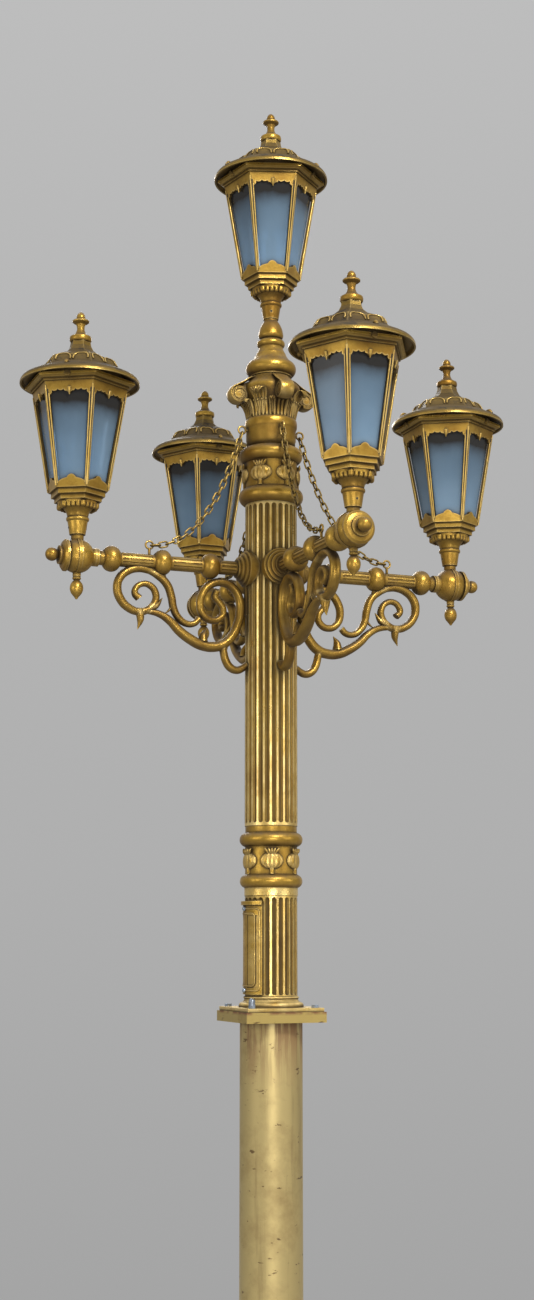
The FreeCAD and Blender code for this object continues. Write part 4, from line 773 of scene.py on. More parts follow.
class Grower:
    """Geometry Nodes that sweep a bar along paths and set copies around an upright axis."""

    PATH_STEPS = 6
    ENDING = {
        "realize": "GeometryNodeRealizeInstances",
        "smooth": "GeometryNodeSetShadeSmooth",
        "finish": "GeometryNodeSetMaterial",
        "output": "NodeGroupOutput",
    }
    ENDING_LINKS = (
        ("realize", "Geometry", "smooth", "Geometry"),
        ("smooth", "Geometry", "finish", "Geometry"),
        ("entry", "Finish", "finish", "Material"),
        ("finish", "Geometry", "output", "Geometry"),
    )
    SWEEP = {
        "handles": "GeometryNodeCurveSetHandles",
        "ring": "GeometryNodeCurvePrimitiveCircle",
        "scale": "ShaderNodeCombineXYZ",
        "shape": "GeometryNodeTransform",
        "radius": "GeometryNodeInputRadius",
        "sweep": "GeometryNodeCurveToMesh",
    }
    SWEEP_LINKS = (
        ("entry", "Geometry", "handles", "Curve"),
        ("entry", "Sides", "ring", "Resolution"),
        ("entry", "Depth", "scale", "X"),
        ("ring", "Curve", "shape", "Geometry"),
        ("scale", "Vector", "shape", "Scale"),
        ("handles", "Curve", "sweep", "Curve"),
        ("shape", "Geometry", "sweep", "Profile Curve"),
        ("radius", "Radius", "sweep", "Scale"),
        ("sweep", "Mesh", "realize", "Geometry"),
    )
    RING = {
        "points": "GeometryNodePoints",
        "index": "GeometryNodeInputIndex",
        "step": "ShaderNodeMath",
        "turn": "ShaderNodeMath",
        "spin": "ShaderNodeCombineXYZ",
        "copies": "GeometryNodeInstanceOnPoints",
    }
    RING_LINKS = (
        ("entry", "Count", "points", "Count"),
        ("entry", "Count", "step", 1),
        ("index", "Index", "turn", 0),
        ("step", "Value", "turn", 1),
        ("entry", "Start", "turn", 2),
        ("turn", "Value", "spin", "Z"),
        ("points", "Points", "copies", "Points"),
        ("entry", "Geometry", "copies", "Instance"),
        ("spin", "Vector", "copies", "Rotation"),
        ("copies", "Instances", "realize", "Geometry"),
    )

    def __init__(self) -> None:
        """Builds both trees."""
        self.sweep_tree = self._sweep()
        self.ring_tree = self._ring()

    def _tree(
        self, name: str, inputs: Dict[str, str], kinds: Dict[str, str]
    ) -> Tuple[bpy.types.NodeTree, Dict[str, bpy.types.Node]]:
        """A new tree with a geometry way through and named inputs.

        Args:
            name: name of the tree.
            inputs: socket type of each named input.
            kinds: node type of each of its own nodes.

        Returns:
            The tree and its nodes by name, not yet linked.
        """
        tree = bpy.data.node_groups.new(name, "GeometryNodeTree")
        tree.interface.new_socket("Geometry", in_out="INPUT", socket_type="NodeSocketGeometry")
        for label, kind in inputs.items():
            tree.interface.new_socket(label, in_out="INPUT", socket_type=kind)
        tree.interface.new_socket("Finish", in_out="INPUT", socket_type="NodeSocketMaterial")
        tree.interface.new_socket("Geometry", in_out="OUTPUT", socket_type="NodeSocketGeometry")
        return tree, add_nodes(tree, {"entry": "NodeGroupInput", **kinds, **self.ENDING})

    def _sweep(self) -> bpy.types.NodeTree:
        """Bars along smooth paths, as thick at each point as the path says there.

        Returns:
            The tree.
        """
        inputs = {"Depth": "NodeSocketFloat", "Sides": "NodeSocketInt"}
        tree, nodes = self._tree("swept_bar", inputs, self.SWEEP)
        nodes["handles"].handle_type = "AUTO"
        nodes["ring"].inputs["Radius"].default_value = 1.0
        nodes["scale"].inputs["Y"].default_value = 1.0
        nodes["scale"].inputs["Z"].default_value = 1.0
        nodes["sweep"].inputs["Fill Caps"].default_value = True
        wire(tree, nodes, self.SWEEP_LINKS + self.ENDING_LINKS)
        return tree

    def _ring(self) -> bpy.types.NodeTree:
        """Even copies of a mesh around the upright axis.

        Returns:
            The tree.
        """
        inputs = {"Count": "NodeSocketInt", "Start": "NodeSocketFloat"}
        tree, nodes = self._tree("ring_of_copies", inputs, self.RING)
        nodes["step"].operation = "DIVIDE"
        nodes["step"].inputs[0].default_value = math.tau
        nodes["turn"].operation = "MULTIPLY_ADD"
        wire(tree, nodes, self.RING_LINKS + self.ENDING_LINKS)
        return tree

    @staticmethod
    def _baked(carrier: bpy.types.Object, tree: bpy.types.NodeTree, values: Dict[str, object]) -> bpy.types.Mesh:
        """Runs a tree on an object and keeps only the resulting mesh.

        Args:
            carrier: the object, which is used up.
            tree: the tree.
            values: the tree's inputs by name.

        Returns:
            The plain mesh.
        """
        modifier = carrier.modifiers.new(tree.name, "NODES")
        modifier.node_group = tree
        for item in tree.interface.items_tree:
            if item.in_out == "INPUT" and item.name in values:
                modifier[item.identifier] = values[item.name]
        bpy.context.scene.collection.objects.link(carrier)
        graph = bpy.context.evaluated_depsgraph_get()
        mesh = bpy.data.meshes.new_from_object(carrier.evaluated_get(graph))
        data = carrier.data
        carrier.modifiers.remove(modifier)
        bpy.data.objects.remove(carrier)
        if isinstance(data, bpy.types.Curve):
            bpy.data.curves.remove(data)
        return mesh

    def bars(
        self, paths: Sequence[Path], depth: float, material: bpy.types.Material, sides: int = 8
    ) -> bpy.types.Mesh:
        """Sweeps bars along paths.

        Args:
            paths: the paths, each with its thickness at every point.
            depth: thickness out of the path's plane as a share of that in it.
            material: the finish.
            sides: corners of the bar's section.

        Returns:
            One mesh with all bars.
        """
        curve = bpy.data.curves.new("paths", "CURVE")
        curve.dimensions = "3D"
        curve.twist_mode = "MINIMUM"
        for path in paths:
            spline = curve.splines.new("BEZIER")
            spline.resolution_u = self.PATH_STEPS
            spline.bezier_points.add(len(path.points) - 1)
            for knot, spot, half in zip(spline.bezier_points, path.points, path.halves):
                knot.co = spot
                knot.radius = half
                knot.handle_left_type = "AUTO"
                knot.handle_right_type = "AUTO"
        carrier = bpy.data.objects.new("paths", curve)
        return self._baked(carrier, self.sweep_tree, {"Depth": depth, "Sides": sides, "Finish": material})

    def ring(
        self, mesh: bpy.types.Mesh, count: int, material: bpy.types.Material, start: float = 0.0
    ) -> bpy.types.Mesh:
        """Sets copies of a mesh around the upright axis.

        Args:
            mesh: the mesh to copy.
            count: how many copies.
            material: the finish.
            start: heading of the first in degrees, added to the mesh's own.

        Returns:
            One mesh with all copies.
        """
        carrier = bpy.data.objects.new("copies", mesh)
        values = {"Count": count, "Start": math.radians(start), "Finish": material}
        return self._baked(carrier, self.ring_tree, values)


def joined(
    name: str, meshes: Sequence[bpy.types.Mesh], placing: Matrix = Matrix.Identity(4), smooth: bool = True
) -> bpy.types.Object:
    """Makes one object at the origin from meshes.

    Args:
        name: name of the piece.
        meshes: meshes to join; they are used up.
        placing: matrix from their space to the shared frame.
        smooth: whether its faces are shaded as one round surface.

    Returns:
        The piece, linked to the scene.
    """
    builder = bmesh.new()
    for mesh in meshes:
        builder.from_mesh(mesh)
    bmesh.ops.transform(builder, matrix=placing, verts=builder.verts)
    bmesh.ops.remove_doubles(builder, verts=builder.verts, dist=MERGE_DISTANCE)
    bmesh.ops.recalc_face_normals(builder, faces=builder.faces)
    result = bpy.data.meshes.new(name)
    builder.to_mesh(result)
    builder.free()
    result.materials.append(meshes[0].materials[0])
    for polygon in result.polygons:
        polygon.use_smooth = smooth
    obj = bpy.data.objects.new(name, result)
    bpy.context.scene.collection.objects.link(obj)
    return obj


def heading_matrix(degrees: float, height: float) -> Matrix:
    """A turn about the column's axis at a height."""
    return Matrix.Translation((0.0, 0.0, height)) @ Matrix.Rotation(math.radians(degrees), 4, "Z")


def surface_mesh(
    name: str, place: Callable[[float, float], Point], steps: Tuple[int, int], material: bpy.types.Material
) -> bpy.types.Mesh:
    """A closed skin from a rule, joined round in its first direction and capped at both ends of the second.

    Args:
        name: name of the mesh.
        place: gives the spot in millimetres for two shares from 0 to 1.
        steps: how many steps each way.
        material: the finish.

    Returns:
        The mesh in metres.
    """
    around, along = steps
    builder = bmesh.new()
    rows = []
    for row in range(along + 1):
        ring = []
        for column in range(around):
            spot = place(column / around, row / along)
            ring.append(builder.verts.new(tuple(value * MM for value in spot)))
        rows.append(ring)
    for low, high in zip(rows, rows[1:]):
        for column in range(around):
            after = (column + 1) % around
            builder.faces.new((low[column], low[after], high[after], high[column]))
    builder.faces.new(list(reversed(rows[0])))
    builder.faces.new(rows[-1])
    mesh = bpy.data.meshes.new(name)
    builder.to_mesh(mesh)
    builder.free()
    mesh.materials.append(material)
    return mesh


def along_line(line: Rows, share: float) -> List[float]:
    """Values at a share of the way along a list of rows.

    Args:
        line: the rows.
        share: from 0 at the first row to 1 at the last.

    Returns:
        The values of a row there.
    """
    spot = min(max(share, 0.0), 1.0) * (len(line) - 1)
    low = min(int(spot), len(line) - 2)
    part = spot - low
    return [first + (second - first) * part for first, second in zip(line[low], line[low + 1])]


def turned_mesh(
    name: str, profile: Rows, steps: Tuple[int, int], material: bpy.types.Material, foot: float = 0.0
) -> bpy.types.Mesh:
    """A body turned about the upright axis.

    Args:
        name: name of the mesh.
        profile: radius and height of each point of its outline, in millimetres.
        steps: steps around, and steps along each piece of the outline.
        material: the finish.
        foot: height that the outline's heights start from.

    Returns:
        The mesh in metres.
    """

    def place(turn: float, share: float) -> Point:
        """A spot on the body at a share of the turn and of the outline."""
        radius, height = along_line(profile, share)
        angle = math.tau * turn
        return (radius * math.cos(angle), radius * math.sin(angle), foot + height)

    around, along = steps
    return surface_mesh(name, place, (around, along * (len(profile) - 1)), material)


@dataclass
class Brackets:
    """Scrolled castings under the arms."""

    grower: Grower
    material: bpy.types.Material
    depth: float = 1.3
    sides: int = 12

    STRANDS = (
        (
            ((300, -29), (322, -22), (350, -19), (377, -27), (397, -46), (403, -70), (395, -97),
             (374, -118), (347, -126), (322, -118), (306, -99), (305, -77), (318, -60), (338, -56),
             (354, -66), (358, -81), (347, -93)),
            (7.5, 9, 10, 10.5, 10.5, 10.5, 10, 9.5, 9, 8.5, 8, 7.5, 8, 9.5),
        ),
        (
            ((322, -22), (302, -31), (276, -53), (264, -83), (258, -112), (246, -134), (225, -148),
             (204, -146), (192, -134)),
            (8, 9.5, 10, 9.5, 9, 8.5, 8, 8),
        ),
        (
            ((335, -124), (320, -124), (293, -129), (267, -144), (243, -167), (213, -187), (183, -200),
             (153, -202), (128, -194), (105, -172), (90, -142), (83, -110), (86, -75), (104, -49),
             (133, -38), (162, -46), (182, -68), (189, -98), (180, -124), (158, -136), (136, -128),
             (128, -108), (138, -90), (150, -76), (146, -62)),
            (6, 8, 10.5, 12.5, 13, 12.5, 11.5, 11, 10.5, 10.5, 10, 9.5, 9, 8.5, 8, 9),
        ),
        (
            ((132, -190), (127, -212), (121, -234), (109, -251), (92, -257), (78, -252), (66, -243)),
            (8.5, 9.5, 10, 10, 9, 8.5),
        ),
    )
    THORNS = (
        (((346, -122), (343, -146), (350, -170)), (11, 8.5, 0.9)),
        (((320, -116), (303, -108), (287, -88)), (9, 8, 0.9)),
        (((181, -190), (180, -174), (170, -156)), (12, 9, 0.8)),
        (((94, -150), (86, -156), (76, -170)), (8, 6, 0.8)),
        (((262, -104), (270, -118), (284, -128)), (4, 3, 0.8)),
    )
    SEATS = (
        (((289, -36), (289, -26)), (9, 7)),
        (((133, -40), (133, -27)), (9, 7)),
        (((66, -30), (66, -118)), (5.5, 5.5)),
    )

    def paths(self) -> List[Path]:
        """All bars of one bracket in the plane of its arm."""
        bars = self.STRANDS + self.THORNS + self.SEATS
        return [path_of([(x, 0, z) for x, z in spine], halves) for spine, halves in bars]

    def build(self) -> List[bpy.types.Object]:
        """Makes the scrolls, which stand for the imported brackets.

        Returns:
            One piece for each arm.
        """
        pieces = []
        for arm in Arm:
            mesh = self.grower.bars(self.paths(), self.depth, self.material, self.sides)
            piece = joined("scrolls_" + arm.key, [mesh], heading_matrix(arm.value, ARM_HEIGHT))
            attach(piece, FRAME_NAME)
            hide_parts("bracket_" + arm.key)
            pieces.append(piece)
        return pieces


@dataclass
class Capital:
    """Capital of the column: bell, scrolled volutes, ribbed leaves and tongues."""

    grower: Grower
    material: bpy.types.Material
    foot: float = 2595.0
    volute_count: int = 4
    volute_reach: float = 91.0
    volute_height: float = 132.5
    spiral_start: float = 24.0
    spiral_stop: float = 5.0
    spiral_heading: float = 72.0
    spiral_turns: float = 2.1
    spiral_steps: int = 34
    band_depth: float = 5.0
    core_half: float = 13.5
    core_radius: float = 22.0
    neck_depth: float = 0.62
    leaf_half: float = 2.6
    leaf_rib: float = 1.5
    leaf_arch: float = 2.5
    leaf_droop: float = 3.0
    tongue_count: int = 40
    tongue_start: float = 4.5

    PROFILE = (
        (61.7, 0), (61.7, 16), (63.2, 18.5), (63.2, 47.5), (65.2, 50), (66.4, 55), (66.7, 60.5), (66.4, 66),
        (65.2, 71), (63.2, 73.5), (60, 75), (59.6, 85), (60.2, 96), (62, 106), (64.5, 118), (68, 130),
        (72, 140), (73.4, 147), (73.8, 154), (73, 160), (66, 167.5), (58.5, 175), (52.8, 181.5),
        (50.7, 186), (50.7, 188),
    )
    BELL_STEPS = (72, 1)
    BAND_ROOT = ((48.0, 184.0), (62.0, 178.0), (78.0, 167.0))
    BAND_HALVES = (3.6, 3.6, 3.4, 3.2, 3.0, 2.8)
    NECK = ((56.0, 150.0), (84.0, 142.0))
    NECK_HALVES = (22.0, 17.0)
    TONGUE = ((59, 74), (60.5, 88), (62.5, 100), (66, 110), (70.5, 114), (72.5, 110))
    TONGUE_HALVES = (3.6, 4.2, 4.3, 4.1, 3.4, 1.6)
    LEAF = (
        (59, 78, 9), (63, 98, 13), (68, 116, 18), (76, 132, 23), (86, 142, 24), (93, 141, 19), (95, 133, 10),
        (92, 127, 3),
    )
    SMALL_LEAF = ((60, 78, 5), (64, 96, 7), (70, 110, 9), (78, 119, 10), (84, 117, 8), (85, 110, 3))
    LEAVES = ((LEAF, 5, 45.0), (SMALL_LEAF, 3, 19.0), (SMALL_LEAF, 3, -19.0))
    LEAF_STEPS = (48, 28)

    def raised(self, line: Rows) -> List[Point]:
        """Places toward +X from rows of reach and height above the foot."""
        return [(reach, 0.0, self.foot + height) for reach, height in line]

    def scroll(self) -> List[bpy.types.Mesh]:
        """The volute toward +X: a band that leaves the abacus and rolls up on itself.

        Returns:
            The band, the core inside its roll and the neck behind it.
        """
        centre = (self.volute_reach, self.foot + self.volute_height)
        points = self.raised(self.BAND_ROOT)
        for step in range(self.spiral_steps + 1):
            share = step / self.spiral_steps
            angle = math.radians(self.spiral_heading - 360.0 * self.spiral_turns * share)
            radius = self.spiral_start + (self.spiral_stop - self.spiral_start) * share
            points.append((centre[0] + radius * math.cos(angle), 0.0, centre[1] + radius * math.sin(angle)))
        ends = [(centre[0], side * self.core_half, centre[1]) for side in (-1.0, 1.0)]
        band = path_of(points, self.BAND_HALVES)
        core = path_of(ends, (self.core_radius, self.core_radius))
        neck = path_of(self.raised(self.NECK), self.NECK_HALVES)
        return [
            self.grower.bars([band], self.band_depth, self.material, 20),
            self.grower.bars([core], 1.0, self.material, 28),
            self.grower.bars([neck], self.neck_depth, self.material, 16),
        ]

    def leaf(self, line: Rows, ribs: int, turn: float) -> bpy.types.Mesh:
        """A ribbed leaf that curls out at its tip.

        Args:
            line: reach, height and half width along its middle.
            ribs: how many ribs to a half.
            turn: its heading in degrees.

        Returns:
            The leaf.
        """

        def place(share: float, rise: float) -> Point:
            """A spot on the leaf at a share of the way round it and up it."""
            radius, height, half = along_line(line, rise)
            front = share < 0.5
            across = 1.0 - 4.0 * share if front else 4.0 * share - 3.0
            ridge = self.leaf_rib * math.cos(math.pi * ribs * across) - self.leaf_arch * across * across
            depth = self.leaf_half + ridge if front else -self.leaf_half
            return (radius + depth, half * across, self.foot + height - self.leaf_droop * abs(across))

        mesh = surface_mesh("leaf", place, self.LEAF_STEPS, self.material)
        mesh.transform(Matrix.Rotation(math.radians(turn), 4, "Z"))
        return mesh

    def build(self) -> List[bpy.types.Object]:
        """Makes the capital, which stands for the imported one.

        Returns:
            The capital as one piece.
        """
        parts = [turned_mesh("bell", self.PROFILE, self.BELL_STEPS, self.material, self.foot)]
        for mesh in self.scroll() + [self.leaf(*values) for values in self.LEAVES]:
            parts.append(self.grower.ring(mesh, self.volute_count, self.material))
        tongue = path_of(self.raised(self.TONGUE), self.TONGUE_HALVES)
        bars = self.grower.bars([tongue], 1.0, self.material)
        parts.append(self.grower.ring(bars, self.tongue_count, self.material, self.tongue_start))
        piece = joined("carved_capital", parts)
        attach(piece, FRAME_NAME)
        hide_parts("capital")
        return [piece]


@dataclass
class FriezeHeads:
    """Ribbed seed heads with crowns around the two collars."""

    grower: Grower
    material: bpy.types.Material
    count: int = 6
    half_width: float = 29.0
    half_height: float = 20.5
    relief: float = 9.8
    sunk: float = 0.8
    lobes: int = 7
    lobe_span: float = 196.0
    lobe_share: float = 0.20
    pole: float = 86.0

    COLLARS = (("lower", 64.0, 1551.0, 10.0), ("upper", 66.0, 2520.0, 45.0))
    HEAD_STEPS = (126, 18)
    CROWN = (-15.0, -7.0, 0.0, 7.0, 15.0)
    CROWN_RISE = ((18.0, 3.0, 0.55), (24.0, 6.0, 0.8), (29.5, 7.0, 1.05))
    CROWN_HALVES = (3.6, 3.6, 1.6)

    def head(self, radius: float, middle: float) -> bpy.types.Mesh:
        """One seed head at heading 0.

        Args:
            radius: radius of the collar.
            middle: height of the head's middle.

        Returns:
            The head.
        """

        def place(share: float, rise: float) -> Point:
            """A spot on the head at a share of the way round it and up it."""
            turn = math.tau * share - math.pi
            tilt = math.radians(-self.pole + 2.0 * self.pole * rise)
            wave = abs(math.sin(math.pi * (turn / math.radians(self.lobe_span) + 0.5) * self.lobes)) ** 0.55
            front = math.cos(turn)
            shape = abs(front) ** 0.6 if front > 0.0 else -0.3 * abs(front)
            swell = 1.0 - self.lobe_share + self.lobe_share * wave
            depth = self.relief * math.cos(tilt) ** 0.7 * shape * swell
            angle = self.half_width * math.cos(tilt) * math.sin(turn) / radius
            reach = radius - self.sunk + depth
            height = middle + self.half_height * math.sin(tilt)
            return (reach * math.cos(angle), reach * math.sin(angle), height)

        return surface_mesh("head", place, self.HEAD_STEPS, self.material)

    def crown(self, radius: float, middle: float) -> bpy.types.Mesh:
        """Five points over the head.

        Args:
            radius: radius of the collar.
            middle: height of the head's middle.

        Returns:
            The crown.
        """
        paths = []
        for across in self.CROWN:
            points = []
            for rise, lift, spread in self.CROWN_RISE:
                angle = across * spread / radius
                reach = radius + lift
                points.append((reach * math.cos(angle), reach * math.sin(angle), middle + rise))
            paths.append(path_of(points, self.CROWN_HALVES))
        return self.grower.bars(paths, 1.0, self.material)

    def build(self) -> List[bpy.types.Object]:
        """Makes the heads.

        Returns:
            One piece for each collar.
        """
        pieces = []
        for key, radius, middle, start in self.COLLARS:
            meshes = (self.head(radius, middle), self.crown(radius, middle))
            rings = [self.grower.ring(mesh, self.count, self.material, start) for mesh in meshes]
            piece = joined("seed_heads_" + key, rings)
            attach(piece, FRAME_NAME)
            pieces.append(piece)
        return pieces


@dataclass
class DoorTrim:
    """Raised borders on the access door."""

    grower: Grower
    material: bpy.types.Material
    radius: float = 68.6
    corner: float = 9.0
    long_step: float = 20.0
    long_parts: int = 6

    BORDERS = ((44.0, 1240.0, 1436.0, 1.9), (33.0, 1251.0, 1424.0, 1.6))
    CORNERS = ((1, 1, 0), (-1, 1, 90), (-1, -1, 180), (1, -1, 270))
    CORNER_TURNS = (0, 30, 60, 90)

    def outline(self, wide: float, tall: float, middle: float) -> List[Tuple[float, float]]:
        """A closed rectangle with round corners, laid flat.

        Args:
            wide: half its width.
            tall: half its height.
            middle: height of its middle.

        Returns:
            Its points, the first one again at the end.
        """
        points = []
        for across_sign, up_sign, first in self.CORNERS:
            for turn in self.CORNER_TURNS:
                angle = math.radians(first + turn)
                across = across_sign * (wide - self.corner) + self.corner * math.cos(angle)
                points.append((across, middle + up_sign * (tall - self.corner) + self.corner * math.sin(angle)))
        return points + points[:1]

    def border(self, half_turn: float, low: float, high: float, half: float) -> Path:
        """A rounded border in the door's curved face.

        Args:
            half_turn: half its width in degrees about the column.
            low: height of its lower edge.
            high: height of its upper edge.
            half: half thickness of its bar.

        Returns:
            The path of its bar.
        """
        points = self.outline(math.radians(half_turn) * self.radius, (high - low) / 2.0, (low + high) / 2.0)
        spots = []
        for (across, height), after in zip(points, points[1:] + points[1:2]):
            spots.append((across, height))
            if abs(after[0] - across) > self.long_step:
                step = range(1, self.long_parts)
                spots += [(across + (after[0] - across) * part / self.long_parts, height) for part in step]
        curved = []
        for across, height in spots:
            angle = math.pi + across / self.radius
            curved.append((self.radius * math.cos(angle), self.radius * math.sin(angle), height))
        return path_of(curved, (half, half))

    def build(self) -> List[bpy.types.Object]:
        """Makes both borders.

        Returns:
            One piece on the door.
        """
        mesh = self.grower.bars([self.border(*values) for values in self.BORDERS], 1.0, self.material)
        piece = joined("door_borders", [mesh])
        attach(piece, "door")
        return [piece]


@dataclass
class LanternTrim:
    """Beads, grooves and top moulding of the six sides, and the scallops of the roof, on each lantern."""

    grower: Grower
    gold: bpy.types.Material
    edge: bpy.types.Material
    groove: bpy.types.Material
    foot_apothem: float = 64.69
    foot_height: float = 105.0
    lean: float = 8.72
    bead: float = 1.8
    groove_sunk: float = 0.7
    screw_height: float = 17.0
    screw_half: float = 2.5
    scallop_lift: float = 0.6
    lug_count: int = 3
    lug_start: float = 60.0

    BOTH = (1.0, -1.0)
    SIDE_BEADS = (((34.4, 9), (50.6, 226)), ((38.6, 3), (58.2, 246)))
    SIDE_LINE = ((36.2, 5), (54.0, 236))
    LINE_HALVES = (1.7, 2.2)
    PENDANT = ((0, 240), (0, 232), (0, 221))
    PENDANT_HALVES = (4.6, 4.2, 0.7)
    SCREW_REACH = (19.0, 22.7)
    MOULDING = ((124.5, 365.6), (131.5, 365.6), (134, 367.4), (138.6, 369.4), (138.6, 376), (124.5, 376))
    ROOF_FACE = ((404.0, 92.66), (416.0, 84.0), (426.0, 78.81), (434.0, 75.34))
    SCALLOP = ((-40, 418), (-39.5, 426), (-35, 432.5), (-22, 434.5), (-9, 432.5), (-4, 426), (-3.5, 418))
    SCALLOP_HALVES = (2.4, 2.6, 1.8, 1.1, 1.8, 2.6, 2.4)
    LUG = ((122, 0, 398), (130, 0, 396), (138, 0, 390))
    LUG_HALVES = (3.5, 6.0, 3.0)

    def on_side(self, across: float, up: float, sunk: float = 0.0) -> Point:
        """A place on the side that faces +X.

        Args:
            across: distance from the side's middle line.
            up: distance up the side from its foot.
            sunk: how far into the side.

        Returns:
            The place.
        """
        lean = math.radians(self.lean)
        reach = self.foot_apothem + up * math.sin(lean) - sunk * math.cos(lean)
        return (reach, across, self.foot_height + up * math.cos(lean) + sunk * math.sin(lean))

    def on_roof(self, across: float, height: float) -> Point:
        """A place just off the roof tier that faces +X.

        Args:
            across: distance from the tier's middle line.
            height: height above the lantern's socket.

        Returns:
            The place.
        """
        spans = list(zip(self.ROOF_FACE, self.ROOF_FACE[1:]))
        (low, near), (high, far) = next((span for span in spans if height <= span[1][0]), spans[-1])
        share = (height - low) / (high - low)
        return (near + (far - near) * share + self.scallop_lift, across, height)

    def borders(self, station: Station) -> bpy.types.Object:
        """Beads along the six sides, with a pendant at the top of each.

        Args:
            station: where the lantern stands.

        Returns:
            The piece.
        """
        paths = []
        for ends in self.SIDE_BEADS:
            for side in self.BOTH:
                paths.append(path_of([self.on_side(side * x, up) for x, up in ends], (self.bead, self.bead)))
        paths.append(path_of([self.on_side(*spot) for spot in self.PENDANT], self.PENDANT_HALVES))
        beads = self.grower.bars(paths, 1.0, self.gold)
        rows = [self.grower.ring(beads, LANTERN_SIDES, self.gold)]
        return joined("borders_" + station.key, rows, station.placing)

    def grooves(self, station: Station) -> bpy.types.Object:
        """Dark lines of painted shade between the beads, and two dark dots of painted shade at the socket's set
        screw.

        Args:
            station: where the lantern stands.

        Returns:
            The piece.
        """
        lines, screws = [], []
        for side in self.BOTH:
            spots = [self.on_side(side * x, up, self.groove_sunk) for x, up in self.SIDE_LINE]
            lines.append(path_of(spots, self.LINE_HALVES))
            ends = [(side * reach, 0, self.screw_height) for reach in self.SCREW_REACH]
            screws.append(path_of(ends, (self.screw_half, self.screw_half)))
        line = self.grower.bars(lines, 1.0, self.groove)
        rows = [self.grower.ring(line, LANTERN_SIDES, self.groove)]
        rows.append(self.grower.bars(screws, 1.0, self.groove, 10))
        return joined("grooves_" + station.key, rows, station.placing)

    def moulding(self, station: Station) -> bpy.types.Object:
        """Six-sided top moulding of the cornice, under the brim.

        Args:
            station: where the lantern stands.

        Returns:
            The piece.
        """
        builder = bmesh.new()
        turns = [math.radians(60.0 * step + 30.0) for step in range(LANTERN_SIDES)]
        rings = []
        for corner, height in self.MOULDING:
            spots = [(corner * math.cos(turn), corner * math.sin(turn), height) for turn in turns]
            rings.append([builder.verts.new(tuple(value * MM for value in spot)) for spot in spots])
        for low, high in zip(rings, rings[1:] + rings[:1]):
            for step in range(LANTERN_SIDES):
                after = (step + 1) % LANTERN_SIDES
                builder.faces.new((low[step], low[after], high[after], high[step]))
        mesh = bpy.data.meshes.new("moulding")
        builder.to_mesh(mesh)
        builder.free()
        mesh.materials.append(self.gold)
        return joined("cornice_" + station.key, [mesh], station.placing, smooth=False)

    def scallops(self, station: Station) -> bpy.types.Object:
        """Two scallops on each side of the roof's tier, and the lugs on its brim.

        Args:
            station: where the lantern stands.

        Returns:
            The piece.
        """
        rolls = []
        for side in self.BOTH:
            spots = [self.on_roof(side * across, up) for across, up in self.SCALLOP]
            rolls.append(path_of(spots, self.SCALLOP_HALVES))
        tier = self.grower.bars(rolls, 1.0, self.edge)
        lug = self.grower.bars([path_of(self.LUG, self.LUG_HALVES)], 1.0, self.edge, 12)
        rows = [self.grower.ring(tier, LANTERN_SIDES, self.edge)]
        rows.append(self.grower.ring(lug, self.lug_count, self.edge, self.lug_start))
        return joined("scallops_" + station.key, rows, station.placing)

    def build(self, station: Station) -> List[bpy.types.Object]:
        """Trim of one lantern.

        Args:
            station: where the lantern stands.

        Returns:
            The borders, their grooves, the moulding and the scallops of the roof.
        """
        fixed = [self.borders(station), self.grooves(station), self.moulding(station)]
        for piece in fixed:
            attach(piece, FRAME_NAME)
        scallops = self.scallops(station)
        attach(scallops, "roof_of_" + station.key)
        return fixed + [scallops]


@dataclass
class RoofFinial:
    """Acorn finial on each roof, turned."""

    material: bpy.types.Material

    PROFILE = (
        (14, 482), (25, 486), (26.8, 489), (27.2, 494), (26.2, 498.5), (22, 501), (16.5, 504), (12.5, 509),
        (10, 515), (9.2, 520), (9.8, 526), (12, 531.5), (17.5, 534.5), (20.6, 537), (20.9, 539.5),
        (19, 541.6), (11, 543), (10.6, 545), (10.9, 549), (10.2, 553.5), (8, 558), (4.6, 561.4), (1.2, 562.9),
    )
    STEPS = (48, 4)

    def build(self, station: Station) -> List[bpy.types.Object]:
        """The finial of one lantern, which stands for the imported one.

        Args:
            station: where the lantern stands.

        Returns:
            The finial.
        """
        mesh = turned_mesh("acorn", self.PROFILE, self.STEPS, self.material)
        piece = joined("acorn_" + station.key, [mesh], station.placing)
        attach(piece, "roof_of_" + station.key)
        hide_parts("finial_" + station.key)
        return [piece]


@dataclass
class LampSleeve:
    """Ceramic sleeve round the foot of each lamp, seen through the panes."""

    material: bpy.types.Material

    PROFILE = ((8.4, 166), (12.4, 168), (13.4, 174), (13.4, 212), (11.5, 218), (8.4, 221))
    STEPS = (32, 4)

    def build(self, station: Station) -> List[bpy.types.Object]:
        """The sleeve of one lantern.

        Args:
            station: where the lantern stands.

        Returns:
            The sleeve.
        """
        mesh = turned_mesh("sleeve", self.PROFILE, self.STEPS, self.material)
        piece = joined("sleeve_" + station.key, [mesh], station.placing)
        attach(piece, FRAME_NAME)
        return [piece]


@dataclass(frozen=True)
class StudioLamp:
    """A square area light, aimed at a height on the column's axis."""

    name: str
    spot: Point
    aim: float
    power: float
    side: float
    colour: Colour = (1.0, 0.98, 0.95)

    def build(self) -> None:
        """Adds the light."""
        data = bpy.data.lights.new(self.name, "AREA")
        data.energy = self.power
        data.size = self.side
        data.color = self.colour
        obj = bpy.data.objects.new(self.name, data)
        obj.location = self.spot
        heading = Vector((0.0, 0.0, self.aim)) - Vector(self.spot)
        obj.rotation_euler = heading.to_track_quat("-Z", "Y").to_euler()
        bpy.context.scene.collection.objects.link(obj)


